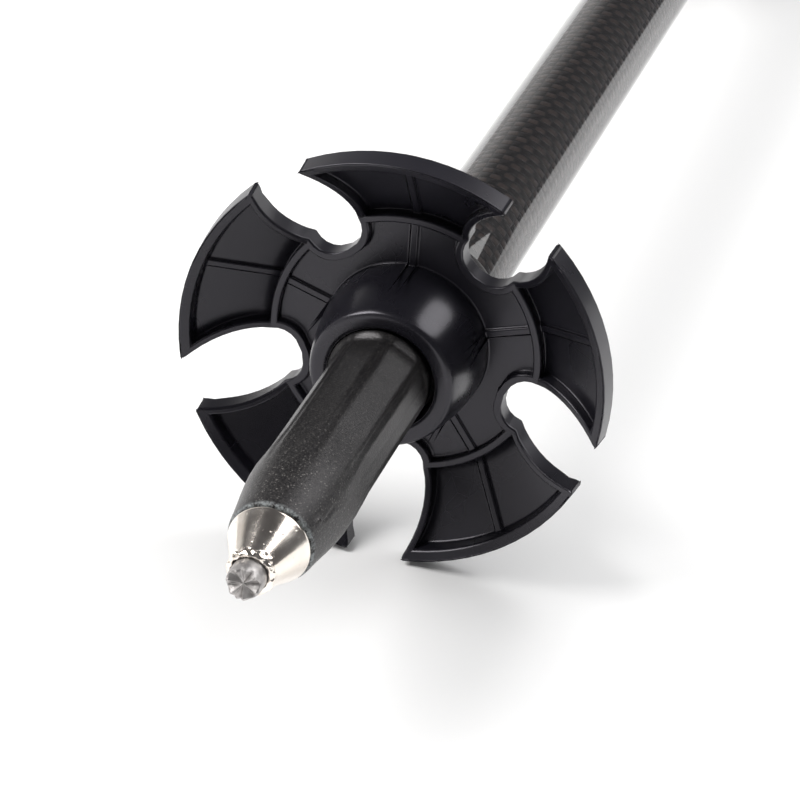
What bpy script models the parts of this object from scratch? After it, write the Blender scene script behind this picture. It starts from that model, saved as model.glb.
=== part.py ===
"""Two-section adjustable ski pole, lying along X with the tip at -X.

World frame: metres, +Z up, origin at the centre of the flat top of the grip cap, +X out of the
grip's top. The sizes below are in millimetres.
"""
import bpy
import bmesh
import math

MM = 0.001

# ---- driving dimensions (mm) -------------------------------------------------------------
BASKET_X = -989.0          # plane of the front edge of the basket's rim
TIP_S = -61.0              # ends of the carbide crown, measured from that plane
N_ROUND = 24               # sides of a round piece

BASKET_R = 32.0            # rim radius at the front edge
BASKET_R_BACK = 32.4       # rim radius at the back edge
RIM_DEPTH = 4.0
RIM_WALL = 1.5
SLOT_WALL = 1.0
RING_OUT, RING_IN = 20.6, 19.4       # circular rib half way out
RING_S = 7.85                        # front edge of that rib
SLOT_END_R = 4.3                     # radius of a slot's round inner end
SLOT_MAX, SLOT_MAX_AT = 5.6, 25.3    # widest half width of a slot
SLOT_RIM = 3.85                      # half width at the rim
HUB_BORE = 8.1
HUB_BASE = 12.3
PETALS = 5

TIP_R = 7.56               # moulded tip body
SHAFT_R, SHAFT_BORE = 8.0, 6.8       # lower tube
UPPER_R, UPPER_BORE = 9.0, 8.2       # upper tube
UPPER_START, UPPER_END = -747.0, -30.0
LOWER_END = -285.0         # inner end of the lower tube at the shortest setting
GAP = 0.3                  # gap between pieces that touch

CLAMP_X0, CLAMP_X1 = -760.0, -730.0  # clamp band
CLAMP_MID = -745.0
PIN_Y, PIN_Z = -15.0, 15.5           # pivot of the clamp lever (runs along X)

STRAP_PIN_X, STRAP_PIN_Y = -18.5, 8.0
STRAP_HALF = 8.5           # half width of the webbing
STRAP_T = 1.6              # thickness of the webbing
LOOP_LEAN = math.radians(-16.0)
FLOOR_A, FLOOR_B = (-985.0, -32.2), (-22.0, -15.0)   # what the pole lies on, as (x, z)

for old in list(bpy.data.objects):
    bpy.data.objects.remove(old, do_unlink=True)


# ---- helpers -----------------------------------------------------------------------------
def material(name, colour, rough, metal):
    mat = bpy.data.materials.new(name)
    mat.use_nodes = True
    node = mat.node_tree.nodes["Principled BSDF"]
    node.inputs["Base Color"].default_value = (*colour, 1.0)
    node.inputs["Roughness"].default_value = rough
    node.inputs["Metallic"].default_value = metal
    return mat


def make(name, bm, colour, rough=0.5, metal=0.0, angle=32.0):
    """Turns a bmesh into a named object with its own material."""
    bmesh.ops.remove_doubles(bm, verts=bm.verts, dist=1e-6)
    bmesh.ops.dissolve_degenerate(bm, edges=bm.edges, dist=1e-7)
    bmesh.ops.recalc_face_normals(bm, faces=bm.faces)
    mesh = bpy.data.meshes.new(name)
    bm.to_mesh(mesh)
    bm.free()
    obj = bpy.data.objects.new(name, mesh)
    bpy.context.scene.collection.objects.link(obj)
    mesh.materials.append(material(name, colour, rough, metal))
    mesh.shade_smooth()
    mesh.set_sharp_from_angle(angle=math.radians(angle))
    return obj


def turned(profile, sides=N_ROUND, closed=True):
    """Spins a profile of (x, radius) points around the X axis."""
    bm = bmesh.new()
    vs = [bm.verts.new((x * MM, 0.0, r * MM)) for x, r in profile]
    es = [bm.edges.new(pair) for pair in zip(vs, vs[1:])]
    if closed:
        es.append(bm.edges.new((vs[-1], vs[0])))
    bmesh.ops.spin(bm, geom=vs + es, cent=(0, 0, 0), axis=(1, 0, 0),
                   angle=2 * math.pi, steps=sides, use_merge=True)
    bmesh.ops.remove_doubles(bm, verts=bm.verts, dist=1e-6)
    return bm


def shifted(profile, dx):
    return [(x + dx, r) for x, r in profile]


def rings(ring_list, cap_first=True, cap_last=True, loop=False):
    """Skins a list of rings, each a list of (x, y, z) in mm."""
    bm = bmesh.new()
    made = [[bm.verts.new((x * MM, y * MM, z * MM)) for x, y, z in ring] for ring in ring_list]
    pairs = list(zip(made, made[1:]))
    if loop:
        pairs.append((made[-1], made[0]))
    for a, b in pairs:
        n = len(a)
        for i in range(n):
            j = (i + 1) % n
            bm.faces.new((a[i], a[j], b[j], b[i]))
    if not loop:
        if cap_first:
            bm.faces.new(made[0])
        if cap_last:
            bm.faces.new(made[-1])
    return bm


def prism_x(outline, x0, x1):
    """Extrudes a (y, z) outline along X."""
    return rings([[(x, y, z) for y, z in outline] for x in (x0, x1)])


def cylinder_z(cx, cy, z0, z1, r, sides):
    ring = [(cx + r * math.cos(2 * math.pi * i / sides), cy + r * math.sin(2 * math.pi * i / sides))
            for i in range(sides)]
    return rings([[(x, y, z) for x, y in ring] for z in (z0, z1)])


def cutter(name, bm):
    obj = make(name, bm, (1, 0, 0))
    obj.hide_render = True
    obj.display_type = 'WIRE'
    return obj


def cut(obj, tool, operation='DIFFERENCE'):
    mod = obj.modifiers.new(tool.name, 'BOOLEAN')
    mod.operation = operation
    mod.solver = 'EXACT'
    mod.object = tool


def arc(cx, cy, r, a0, a1, n):
    return [(cx + r * math.cos(math.radians(a0 + (a1 - a0) * i / n)),
             cy + r * math.sin(math.radians(a0 + (a1 - a0) * i / n))) for i in range(n + 1)]


def floor_z(x):
    (xa, za), (xb, zb) = FLOOR_A, FLOOR_B
    return za + (zb - za) * (x - xa) / (xb - xa)


# ---- carbide insert: a short rod with an eight-point star crown ----------------------------
def carbide():
    n = 16
    def ring(s_ridge, s_valley, r_ridge, r_valley):
        out = []
        for i in range(n):
            a = 2 * math.pi * i / n
            s, r = (s_ridge, r_ridge) if i % 2 == 0 else (s_valley, r_valley)
            out.append((BASKET_X + s, r * math.sin(a), r * math.cos(a)))
        return out
    bm = rings([ring(TIP_S, TIP_S + 0.7, 2.2, 1.95),
                ring(TIP_S + 0.7, TIP_S + 1.1, 2.4, 2.2),
                ring(TIP_S + 2.0, TIP_S + 2.0, 2.3, 2.3),
                ring(-54.1, -54.1, 2.2, 2.2)], cap_first=False)
    bm.verts.ensure_lookup_table()
    first = list(bm.verts)[:n]
    centre = bm.verts.new(((BASKET_X + TIP_S + 1.0) * MM, 0, 0))
    for i in range(n):
        bm.faces.new((centre, first[i], first[(i + 1) % n]))
    return make("carbide_tip", bm, (0.16, 0.16, 0.17), 0.42, 0.9)


carbide()

# ---- ferrule: cone with a rolled small end, open from end to end --------------------------
make("tip_ferrule", turned(shifted([
    (-50.3, 3.45), (-50.3, 5.70), (-50.8, 5.72), (-57.0, 3.05), (-57.25, 3.25), (-57.8, 3.2),
    (-58.1, 2.85), (-58.1, 2.5), (-53.8, 2.5), (-53.5, 3.45)], BASKET_X)),
    (0.72, 0.69, 0.65), 0.22, 1.0)


# ---- moulded tip body: tapered, with soft flats, a groove for the basket and a rear socket --
def flat_depth(s):
    """How far the flats cut in, from none at the taper to their full depth near the basket."""
    t = min(max((s + 42.0) / 16.0, 0.0), 1.0)
    return 0.35 * t * t * (3 - 2 * t)


def tip_ring(s, r, flats=False):
    out = []
    for i in range(N_ROUND):
        a = 2 * math.pi * i / N_ROUND
        rr = r
        if flats:
            near = (a + math.pi / 6 + math.pi / 8) % (math.pi / 4) - math.pi / 8    # eight flats
            rr = min(r, (r - flat_depth(s)) / math.cos(near))
        out.append((BASKET_X + s, rr * math.sin(a), rr * math.cos(a)))
    return out


tip_rings = [tip_ring(-53.2, 2.8), tip_ring(-52.9, 3.1), tip_ring(-50.0, 3.1), tip_ring(-50.0, 5.9),
             tip_ring(-49.5, 6.06)]
tip_rings += [tip_ring(s, r, True) for s, r in
              ((-46.0, 6.50), (-41.0, 7.25), (-37.0, TIP_R), (-28.0, TIP_R), (-5.0, TIP_R))]
tip_rings += [tip_ring(s, r) for s, r in
              ((-4.1, 7.45), (-3.6, 7.1), (-0.7, 7.1), (-0.3, TIP_R), (1.5, TIP_R),
               (1.6, 7.1), (4.4, 7.1), (4.5, TIP_R), (12.4, TIP_R),
               (12.4, 9.3), (12.9, 9.6), (23.0, 9.6), (24.0, 9.3), (24.0, 8.3), (13.5, 8.3),
               (13.5, 6.5), (39.5, 6.5), (40.3, 5.9))]
make("tip_body", rings(tip_rings), (0.012, 0.012, 0.013), 0.5)


# ---- basket: five petals round a domed hub ------------------------------------------------
def slot_half(r):
    """Half width of a slot at radius r (0 inside its round end)."""
    if r <= RING_OUT:
        d = SLOT_END_R ** 2 - (RING_OUT - r) ** 2
        return math.sqrt(d) if d > 1e-9 else 0.0
    (xa, wa), (xb, wb), (xc, wc) = ((RING_OUT, SLOT_END_R + 0.1), (SLOT_MAX_AT, SLOT_MAX),
                                    (BASKET_R, SLOT_RIM))
    d1, d2 = (wb - wa) / (xb - xa), (wc - wb) / (xc - xb)
    return wa + d1 * (r - xa) + (d2 - d1) / (xc - xa) * (r - xa) * (r - xb)


def slot_wall_half(r):
    if r <= RING_OUT:
        d = (SLOT_END_R + SLOT_WALL) ** 2 - (RING_OUT - r) ** 2
        return math.sqrt(d) if d > 1e-9 else 0.0
    return slot_half(r) + SLOT_WALL


def lip(r):
    """Front level of the rim, the slot walls and the ring rib."""
    if r >= RING_OUT:
        return RING_S * (BASKET_R - r) / (BASKET_R - RING_OUT)
    return RING_S + 0.15 * (RING_OUT - r) / (RING_OUT - HUB_BASE)


def plate(r, outer):
    return lip(r) + (2.3 if outer else 1.0)


def back(r):
    if r > BASKET_R - RIM_WALL - 0.01:
        return RIM_DEPTH + (0.35 if r < BASKET_R - 0.1 else 0.0)
    if r >= RING_OUT:
        return lip(r) + 3.6
    t = (RING_OUT - r) / (RING_OUT - HUB_BASE)
    return lip(r) + 3.6 - 1.0 * t


def basket():
    bm = bmesh.new()
    rows = [BASKET_R, BASKET_R - RIM_WALL, 27.8, 24.4, RING_OUT, RING_IN, 18.0,
            RING_OUT - SLOT_END_R, RING_OUT - SLOT_END_R - 0.45, RING_OUT - SLOT_END_R - SLOT_WALL,
            HUB_BASE]
    n_mid = 4                       # cells between the two slot walls of a petal
    half = math.pi / PETALS

    def columns(r):
        edge = half - math.asin(min(slot_half(r) / r, 1.0))
        wall = half - math.asin(min(slot_wall_half(r) / r, 1.0))
        cols = [-edge] + [-wall + 2 * wall * k / n_mid for k in range(n_mid + 1)] + [edge]
        return cols

    def vert(cache, key, x, r, a):
        if key not in cache:
            cache[key] = bm.verts.new(((BASKET_X + x) * MM, r * math.sin(a) * MM,
                                       -r * math.cos(a) * MM))
        return cache[key]

    for p in range(PETALS):
        mid = half + 2 * half * p            # a slot points straight down, between two petals
        cache = {}
        grid = [columns(r) for r in rows]

        def front(i, j, level):
            r = rows[i]
            x = {"lip": lip(r), "out": plate(r, True), "in": plate(r, False)}[level]
            return vert(cache, (i, j, level), x, r, mid + grid[i][j])

        def rear(i, j):
            r = rows[i]
            rr = BASKET_R_BACK if i == 0 else r
            return vert(cache, (i, j, "back"), back(r), rr, mid + grid[i][j])

        def level_of(i, j):
            """Level of the cell between rows i, i+1 and columns j, j+1."""
            if i == 0 or rows[i] == RING_OUT or ((j == 0 or j == n_mid + 1)
                                                 and rows[i] > RING_OUT - SLOT_END_R - SLOT_WALL + 0.01):
                return "lip"
            return "out" if rows[i] > RING_OUT else "in"

        n_r, n_c = len(rows), n_mid + 3
        for i in range(n_r - 1):
            for j in range(n_c - 1):
                lv = level_of(i, j)
                bm.faces.new((front(i, j, lv), front(i, j + 1, lv),
                              front(i + 1, j + 1, lv), front(i + 1, j, lv)))
                bm.faces.new((rear(i, j), rear(i + 1, j), rear(i + 1, j + 1), rear(i, j + 1)))
        # steps between cells of different level
        for i in range(n_r - 1):
            for j in range(n_c - 2):
                a, b = level_of(i, j), level_of(i, j + 1)
                if a != b:
                    bm.faces.new((front(i, j + 1, a), front(i + 1, j + 1, a),
                                  front(i + 1, j + 1, b), front(i, j + 1, b)))
        for i in range(n_r - 2):
            for j in range(n_c - 1):
                a, b = level_of(i, j), level_of(i + 1, j)
                if a != b:
                    bm.faces.new((front(i + 1, j, a), front(i + 1, j, b),
                                  front(i + 1, j + 1, b), front(i + 1, j + 1, a)))
        # rim and slot edges
        for j in range(n_c - 1):
            bm.faces.new((front(0, j, "lip"), rear(0, j), rear(0, j + 1), front(0, j + 1, "lip")))
        for i in range(n_r - 1):
            if rows[i] > RING_OUT - SLOT_END_R + 0.01:
                for j in (0, n_c - 1):
                    bm.faces.new((front(i, j, "lip"), rear(i, j), rear(i + 1, j),
                                  front(i + 1, j, "lip")))
        # hub: dome, face, bore with a bead, rear boss
        hub = [(plate(HUB_BASE, False), HUB_BASE), (6.4, 12.35), (3.6, 12.05), (0.8, 11.6),
               (-1.6, 11.15), (-3.1, 10.75), (-3.5, 10.4), (-3.5, 8.5), (-3.1, HUB_BORE),
               (1.9, HUB_BORE), (2.3, 7.45), (3.7, 7.45), (4.1, HUB_BORE), (11.9, HUB_BORE),
               (11.9, 10.8), (11.2, 11.5), (back(HUB_BASE), HUB_BASE)]
        last = n_r - 1
        for k in range(len(hub) - 1):
            for j in range(n_c - 1):
                quad = []
                for kk, jj in ((k, j), (k, j + 1), (k + 1, j + 1), (k + 1, j)):
                    if kk == 0:
                        quad.append(front(last, jj, "in"))
                    elif kk == len(hub) - 1:
                        quad.append(rear(last, jj))
                    else:
                        x, r = hub[kk]
                        quad.append(vert(cache, (jj, "hub", kk), x, r, mid + grid[last][jj]))
                bm.faces.new(quad)
    return make("basket", bm, (0.011, 0.011, 0.012), 0.38)


basket()

# ---- tubes and the guide inside ------------------------------------------------------------
make("lower_shaft", turned([
    (BASKET_X + 13.8, SHAFT_BORE), (BASKET_X + 13.8, SHAFT_R), (LOWER_END, SHAFT_R),
    (LOWER_END, SHAFT_BORE)]), (0.02, 0.02, 0.021), 0.15)
make("upper_shaft", turned([
    (UPPER_START, UPPER_BORE), (UPPER_START, UPPER_R), (UPPER_END, UPPER_R),
    (UPPER_END, UPPER_BORE)]), (0.02, 0.02, 0.021), 0.15)
make("lower_shaft_plug", turned([
    (LOWER_END - 22, 0), (LOWER_END - 22, 6.0), (LOWER_END - 21.4, 6.5), (LOWER_END + 0.3, 6.5),
    (LOWER_END + 0.3, 7.9), (LOWER_END + 2.3, 7.9), (LOWER_END + 2.3, 4.5), (LOWER_END + 17.0, 4.5),
    (LOWER_END + 17.0, 6.6), (LOWER_END + 18.4, 6.6), (LOWER_END + 19.0, 6.0), (LOWER_END + 19.0, 0)],
    closed=False), (0.5, 0.5, 0.48), 0.5)
make("guide_bushing", turned([
    (LOWER_END + 2.6, 4.8), (LOWER_END + 2.6, 8.0), (LOWER_END + 3.0, 8.1), (LOWER_END + 16.3, 8.1),
    (LOWER_END + 16.7, 8.0), (LOWER_END + 16.7, 4.8)]), (0.75, 0.74, 0.7), 0.4)

# ---- clamp -----------------------------------------------------------------------------------
bush = make("clamp_bushing", turned([
    (CLAMP_X0 - 3.3, 8.15), (CLAMP_X0 - 3.3, 10.4), (CLAMP_X0 - 2.7, 11.0), (CLAMP_X0 - 0.3, 11.0),
    (CLAMP_X0 - 0.3, 9.0), (UPPER_START - 0.3, 9.0), (UPPER_START - 0.3, 8.15)]),
    (0.03, 0.03, 0.032), 0.5)
slit = cutter("bushing_slit", prism_x([(-13, -0.8), (-5, -0.8), (-5, 0.8), (-13, 0.8)],
                                      CLAMP_X0 - 6, UPPER_START + 3))
cut(bush, slit)

SLIT = 2.0
a_out = math.degrees(math.asin(6.6 / 11.6))
a_in = math.degrees(math.asin(SLIT / 9.3))
outline = arc(0, 0, 11.6, 180 - a_out, -180 + a_out, 26)
outline += [(-19.2, -6.6), (-20.4, -5.4), (-20.4, -SLIT)]
outline += arc(0, 0, 9.3, -180 + a_in, 180 - a_in, 28)
outline += [(-20.4, SLIT), (-20.4, 5.4), (-19.2, 6.6)]
band = make("clamp_band", prism_x(outline, CLAMP_X0, CLAMP_X1), (0.03, 0.03, 0.032), 0.42)
cut(band, cutter("band_screw_hole", cylinder_z(CLAMP_MID, PIN_Y, -9, 9, 2.3, 24)))

SADDLE_R = 6.6
saddle_a = math.degrees(math.asin(3.2 / SADDLE_R))
saddle = make("cam_saddle", prism_x(
    [(PIN_Y - 3.2, 6.9), (PIN_Y + 3.2, 6.9)]
    + arc(PIN_Y, PIN_Z, SADDLE_R, -90 + saddle_a, -90 - saddle_a, 10), CLAMP_MID - 10, CLAMP_MID + 10),
    (0.55, 0.55, 0.56), 0.35, 0.8)
cut(saddle, cutter("saddle_screw_hole", cylinder_z(CLAMP_MID, PIN_Y, 3, 12, 2.3, 24)))

barrel = make("lever_barrel_nut", prism_x(
    arc(PIN_Y, PIN_Z, 3.6, 0, 345, 23), CLAMP_MID - 10, CLAMP_MID + 10), (0.62, 0.62, 0.63), 0.3, 1.0)
cut(barrel, cutter("barrel_thread_hole", cylinder_z(CLAMP_MID, PIN_Y, 8, 23, 2.05, 24)))

screw_ring = lambda z, r: [(CLAMP_MID + r * math.cos(2 * math.pi * i / 24),
                            PIN_Y + r * math.sin(2 * math.pi * i / 24), z) for i in range(24)]
make("tension_screw", rings([screw_ring(-11.6, 3.2), screw_ring(-11.6 + 2.7, 3.2),
                             screw_ring(-11.6 + 2.7, 1.9), screw_ring(PIN_Z + 2.2, 1.9),
                             screw_ring(PIN_Z + 2.8, 1.4)]), (0.6, 0.6, 0.61), 0.3, 1.0)
make("screw_washer", rings([
    [(x, y, -7.9) for x, y, _ in screw_ring(0, 2.3)], [(x, y, -7.9) for x, y, _ in screw_ring(0, 4.6)],
    [(x, y, -6.9) for x, y, _ in screw_ring(0, 4.6)], [(x, y, -6.9) for x, y, _ in screw_ring(0, 2.3)]],
    loop=True), (0.6, 0.6, 0.61), 0.3, 1.0)


def wheel_ring(z, r, depth):
    """Ring of the thumb wheel, with scallops of the given depth."""
    out = []
    for i in range(36):
        a = 2 * math.pi * i / 36
        rr = r - depth * (0.5 - 0.5 * math.cos(12 * a))
        out.append((CLAMP_MID + rr * math.cos(a), PIN_Y + rr * math.sin(a), z))
    return out


make("thumb_wheel", rings([wheel_ring(-12.6, 3.5, 0), wheel_ring(-8.3, 3.5, 0), wheel_ring(-8.3, 5.6, 0),
                           wheel_ring(-8.8, 6.2, 0.6), wheel_ring(-12.1, 6.2, 0.6),
                           wheel_ring(-12.6, 5.6, 0)], loop=True), (0.03, 0.03, 0.032), 0.5)

# lever: a boss round the barrel nut and an arm that wraps over the band
LEVER_IN, LEVER_OUT = 12.2, 15.2
lever_outline = arc(PIN_Y, PIN_Z, 6.3, 305, 55, 22)
lever_outline += [(-8.2, 18.8), (-5.0, 17.2), (-2.0, 16.0)]
lever_outline += arc(0, 0, LEVER_OUT, 90, -18, 14)
lever_outline += [(14.1, -7.4), (12.6, -8.0), (11.6, -6.9)]
lever_outline += arc(0, 0, LEVER_IN, -22, 116, 18)
lever_outline += [(-8.3, 10.9)]
lever_outline = lever_outline[::-1]
lever = make("clamp_lever", prism_x(lever_outline, CLAMP_MID - 11, CLAMP_MID + 11),
             (0.03, 0.03, 0.032), 0.4)
cut(lever, cutter("lever_pin_hole", prism_x(arc(PIN_Y, PIN_Z, 3.75, 0, 345, 23),
                                            CLAMP_MID - 12, CLAMP_MID + 12)))
sweep = [(PIN_Y + 1.2, PIN_Z)] + arc(PIN_Y, PIN_Z, 9.0, 305, 118, 14)
cut(lever, cutter("lever_screw_slot", prism_x(sweep[::-1], CLAMP_MID - 2.7, CLAMP_MID + 2.7)))

# ---- foam extension and its rings --------------------------------------------------------------
make("foam_end_ring", turned([(-306.0, 9.3), (-306.0, 11.4), (-305.2, 12.2), (-301.4, 13.8),
                              (-300.3, 13.8), (-300.3, 9.3)]), (0.03, 0.03, 0.032), 0.4)
foam = [(-300.0, 9.3), (-300.0, 13.2), (-298.6, 14.2)]
for k in range(4):
    x0 = -280.0 + 40.0 * k
    foam += [(x0 - 2.2, 14.5), (x0, 13.6), (x0 + 2.2, 14.5)]
foam += [(-141.7, 14.5), (-140.3, 13.8), (-140.3, 9.3)]
make("foam_sleeve", turned(foam), (0.03, 0.03, 0.032), 0.9)
make("foam_top_ring", turned([(-140.0, 9.3), (-140.0, 14.3), (-139.2, 15.1), (-137.0, 15.1),
                              (-136.3, 14.5), (-136.3, 9.3)]), (0.35, 0.35, 0.36), 0.35, 0.6)


# ---- grip ----------------------------------------------------------------------------------------
def section(x, front, rear, wide, power, sides=24):
    """A rounded section: front towards -Y, rear towards +Y."""
    out = []
    for i in range(sides):
        a = 2 * math.pi * (i + 0.5) / sides
        c, s = math.cos(a), math.sin(a)
        e = 2.0 / power
        y = math.copysign(abs(c) ** e, c)
        z = math.copysign(abs(s) ** e, s)
        out.append((x, y * (rear if y > 0 else front), z * wide))
    return out


def round_section(x, r, sides=24):
    return [(x, r * math.cos(2 * math.pi * (i + 0.5) / sides),
             r * math.sin(2 * math.pi * (i + 0.5) / sides)) for i in range(sides)]


rubber = [round_section(-136.0, 10.9), section(-136.0, 14.2, 15.2, 13.6, 2.2),
          section(-135.0, 15.2, 16.2, 14.5, 2.2)]
for k in range(13):
    x = -131.0 + 7.0 * k
    t = k / 12.0
    wave = 0.75 * math.cos(2 * math.pi * (x + 131.0) / 21.0)
    swell = math.sin(math.pi * t)
    rubber.append(section(x, 14.0 - 0.9 * t + wave, 15.6 + 1.3 * swell - 0.4 * t,
                          13.9 + 0.5 * swell - 0.2 * t, 2.3))
rubber += [section(-43.0, 12.9, 15.6, 13.6, 2.4), section(-38.4, 13.4, 16.6, 13.9, 2.5),
           section(-37.3, 12.7, 15.9, 13.2, 2.5), round_section(-37.3, 10.9)]
make("grip_rubber", rings(rubber, loop=True), (0.028, 0.028, 0.03), 0.75)

head = [round_section(-135.7, 9.3), round_section(-135.7, 10.6), round_section(-37.0, 10.6),
        section(-37.0, 13.3, 16.6, 13.8, 2.6), section(-34.0, 14.2, 17.8, 14.3, 2.7),
        section(-28.0, 15.6, 19.6, 14.8, 2.8), section(-21.0, 16.6, 20.6, 15.0, 2.9),
        section(-14.0, 16.4, 20.2, 14.8, 2.9), section(-10.0, 15.8, 19.2, 14.4, 2.8),
        section(-8.3, 15.0, 18.2, 13.8, 2.7)]
bm = rings(head, cap_first=False, cap_last=True)
bm.verts.ensure_lookup_table()
inner = list(bm.verts)[:24]
deep = [bm.verts.new((-0.0297, v.co.y, v.co.z)) for v in inner]
for i in range(24):
    bm.faces.new((inner[i], inner[(i + 1) % 24], deep[(i + 1) % 24], deep[i]))
bm.faces.new(deep)
grip_head = make("grip_head", bm, (0.025, 0.025, 0.027), 0.4)

pocket_a = math.radians(27.0)
pocket = arc(STRAP_PIN_X, STRAP_PIN_Y, 4.5, 180, 360, 12)
pocket += [(STRAP_PIN_X + 4.5, STRAP_PIN_Y + 4.0), (STRAP_PIN_X + 7.3, STRAP_PIN_Y + 12.4),
           (STRAP_PIN_X + 7.3, STRAP_PIN_Y + 16.0), (STRAP_PIN_X - 7.3, STRAP_PIN_Y + 16.0),
           (STRAP_PIN_X - 7.3, STRAP_PIN_Y + 12.4), (STRAP_PIN_X - 4.5, STRAP_PIN_Y + 4.0)]
cut(grip_head, cutter("strap_pocket", rings([[(x, y, z) for x, y in pocket]
                                             for z in (-STRAP_HALF - 0.6, STRAP_HALF + 0.6)])))
cut(grip_head, cutter("strap_pin_hole", cylinder_z(STRAP_PIN_X, STRAP_PIN_Y, -12.6, 20, 2.3, 20)))
cut(grip_head, cutter("cap_stem_hole", rings([round_section(x, 4.3, 20) for x in (-16.4, -5.0)])))
for v in bpy.data.objects["cap_stem_hole"].data.vertices:
    v.co.y -= 8.0 * MM

cap_rings = [[(x, y - 8.0, z) for x, y, z in round_section(xx, r)] for xx, r in
             ((-16.0, 3.5), (-15.5, 4.0), (-8.0, 4.0))]
cap_rings += [section(-8.0, 14.9, 18.1, 13.7, 2.7), section(-7.2, 15.2, 18.4, 13.9, 2.7),
              section(-4.5, 14.8, 17.9, 13.4, 2.6), section(-2.2, 13.4, 16.2, 12.2, 2.5),
              section(-0.7, 11.2, 13.6, 10.4, 2.4), section(0.0, 8.8, 10.8, 8.4, 2.3)]
make("grip_cap", rings(cap_rings), (0.025, 0.025, 0.027), 0.4)
make("strap_pin", cylinder_z(STRAP_PIN_X, STRAP_PIN_Y, -12.3, 13.4, 2.0, 20), (0.6, 0.6, 0.61), 0.3, 1.0)


# ---- strap -----------------------------------------------------------------------------------------
def catmull(points, per):
    """Points along a Catmull-Rom curve through the given open list of points."""
    pts = [points[0]] + points + [points[-1]]
    out = []
    for i in range(1, len(pts) - 2):
        p0, p1, p2, p3 = pts[i - 1:i + 3]
        for k in range(per):
            t = k / per
            out.append(tuple(0.5 * (2 * b + (c - a) * t + (2 * a - 5 * b + 4 * c - d) * t * t
                                    + (3 * b - a - 3 * c + d) * t ** 3)
                             for a, b, c, d in zip(p0, p1, p2, p3)))
    out.append(points[-1])
    return out


def loop_path():
    """Centre line of the webbing in plan, closed round the strap pin."""
    px, py = STRAP_PIN_X, STRAP_PIN_Y
    turn_r = 2.0 + 0.35 + STRAP_T / 2
    knee = (px, py + 25.0)
    raw = [(-17.5, 45.0), (-27.0, 70.0), (-52.0, 92.0), (-90.0, 103.0), (-132.0, 101.0),
           (-166.0, 88.0), (-187.0, 66.0), (-183.0, 46.0), (-160.0, 36.0), (-126.0, 35.0),
           (-92.0, 40.0), (-58.0, 46.5), (-36.0, 48.5), (-25.0, 45.0)]
    run = []
    for x, y in raw:
        dx, dy = x - knee[0], y - knee[1]
        run.append((knee[0] + dx * math.cos(LOOP_LEAN) - dy * math.sin(LOOP_LEAN),
                    knee[1] + dx * math.sin(LOOP_LEAN) + dy * math.cos(LOOP_LEAN)))
    off = STRAP_T / 2 + 0.25
    pts = [(px + off, py + 12.0), (px + off, py + 18.0), (px + off, py + 25.0)] + run \
        + [(px - off, py + 25.0), (px - off, py + 18.0), (px - off, py + 12.0)]
    curve = catmull(pts, 4)
    bend = [(px + turn_r * math.cos(math.radians(a)), py + turn_r * math.sin(math.radians(a)))
            for a in range(-160, -19, 20)]
    start = [(px - turn_r, py + 0.5)]
    end = [(px + turn_r, py + 0.5)]
    return start + bend + end + curve


def droop(x, y):
    """Height of the strap's centre line: it comes down to the surface away from the grip."""
    d = math.hypot(x - STRAP_PIN_X, y - STRAP_PIN_Y)
    t = min(max((d - 28.0) / 75.0, 0.0), 1.0)
    return (t * t * (3 - 2 * t)) * (floor_z(x) + 13.2)


def band_ring(path, i, closed, inner, outer, half):
    n = len(path)
    a = path[(i - 1) % n] if closed or i > 0 else path[i]
    b = path[(i + 1) % n] if closed or i < n - 1 else path[i]
    tx, ty = b[0] - a[0], b[1] - a[1]
    length = math.hypot(tx, ty)
    nx, ny = -ty / length, tx / length
    x, y = path[i]
    z = droop(x, y)
    return [(x + nx * inner, y + ny * inner, z - half), (x + nx * outer, y + ny * outer, z - half),
            (x + nx * outer, y + ny * outer, z + half), (x + nx * inner, y + ny * inner, z + half)]


PATH = loop_path()
make("wrist_strap", rings([band_ring(PATH, i, True, -STRAP_T / 2, STRAP_T / 2, STRAP_HALF)
                           for i in range(len(PATH))], loop=True), (0.03, 0.03, 0.032), 0.85)

# the pad lines the far side of the loop, on the inside
far = [i for i, p in enumerate(PATH) if p[0] < -92.0 and i < len(PATH) * 0.72]
pad_path = PATH[far[0]:far[-1] + 1]
pad_rings = []
for k in range(len(pad_path)):
    end = min(k, len(pad_path) - 1 - k)
    thick = (1.6, 2.6, 3.0)[min(end, 2)]
    half = (10.5, 12.4, 13.0)[min(end, 2)]
    lo = STRAP_T / 2 + 0.3
    pad_rings.append(band_ring(pad_path, k, False, lo, lo + thick, half))
make("wrist_pad", rings(pad_rings), (0.04, 0.04, 0.042), 0.9)

kx, ky = STRAP_PIN_X, STRAP_PIN_Y + 17.5
hole = (STRAP_T + 0.25 + 0.35, STRAP_HALF + 0.35)
shell = (hole[0] + 1.3, hole[1] + 1.3)


def frame_ring(y, hx, hz):
    return [(kx - hx, y, -hz), (kx + hx, y, -hz), (kx + hx, y, hz), (kx - hx, y, hz)]


make("strap_keeper", rings([frame_ring(ky, *hole), frame_ring(ky, *shell), frame_ring(ky + 7, *shell),
                            frame_ring(ky + 7, *hole)], loop=True), (0.025, 0.025, 0.027), 0.4)
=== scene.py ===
"""Looks of the adjustable ski pole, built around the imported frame.

Same frame as the CAD: metres, +Z up, the pole along X with its tip at -X. Sizes below are in
millimetres and are scaled where a mesh is made.
"""
import math

import bmesh
import bpy
from mathutils import Matrix, Vector, noise


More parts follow.
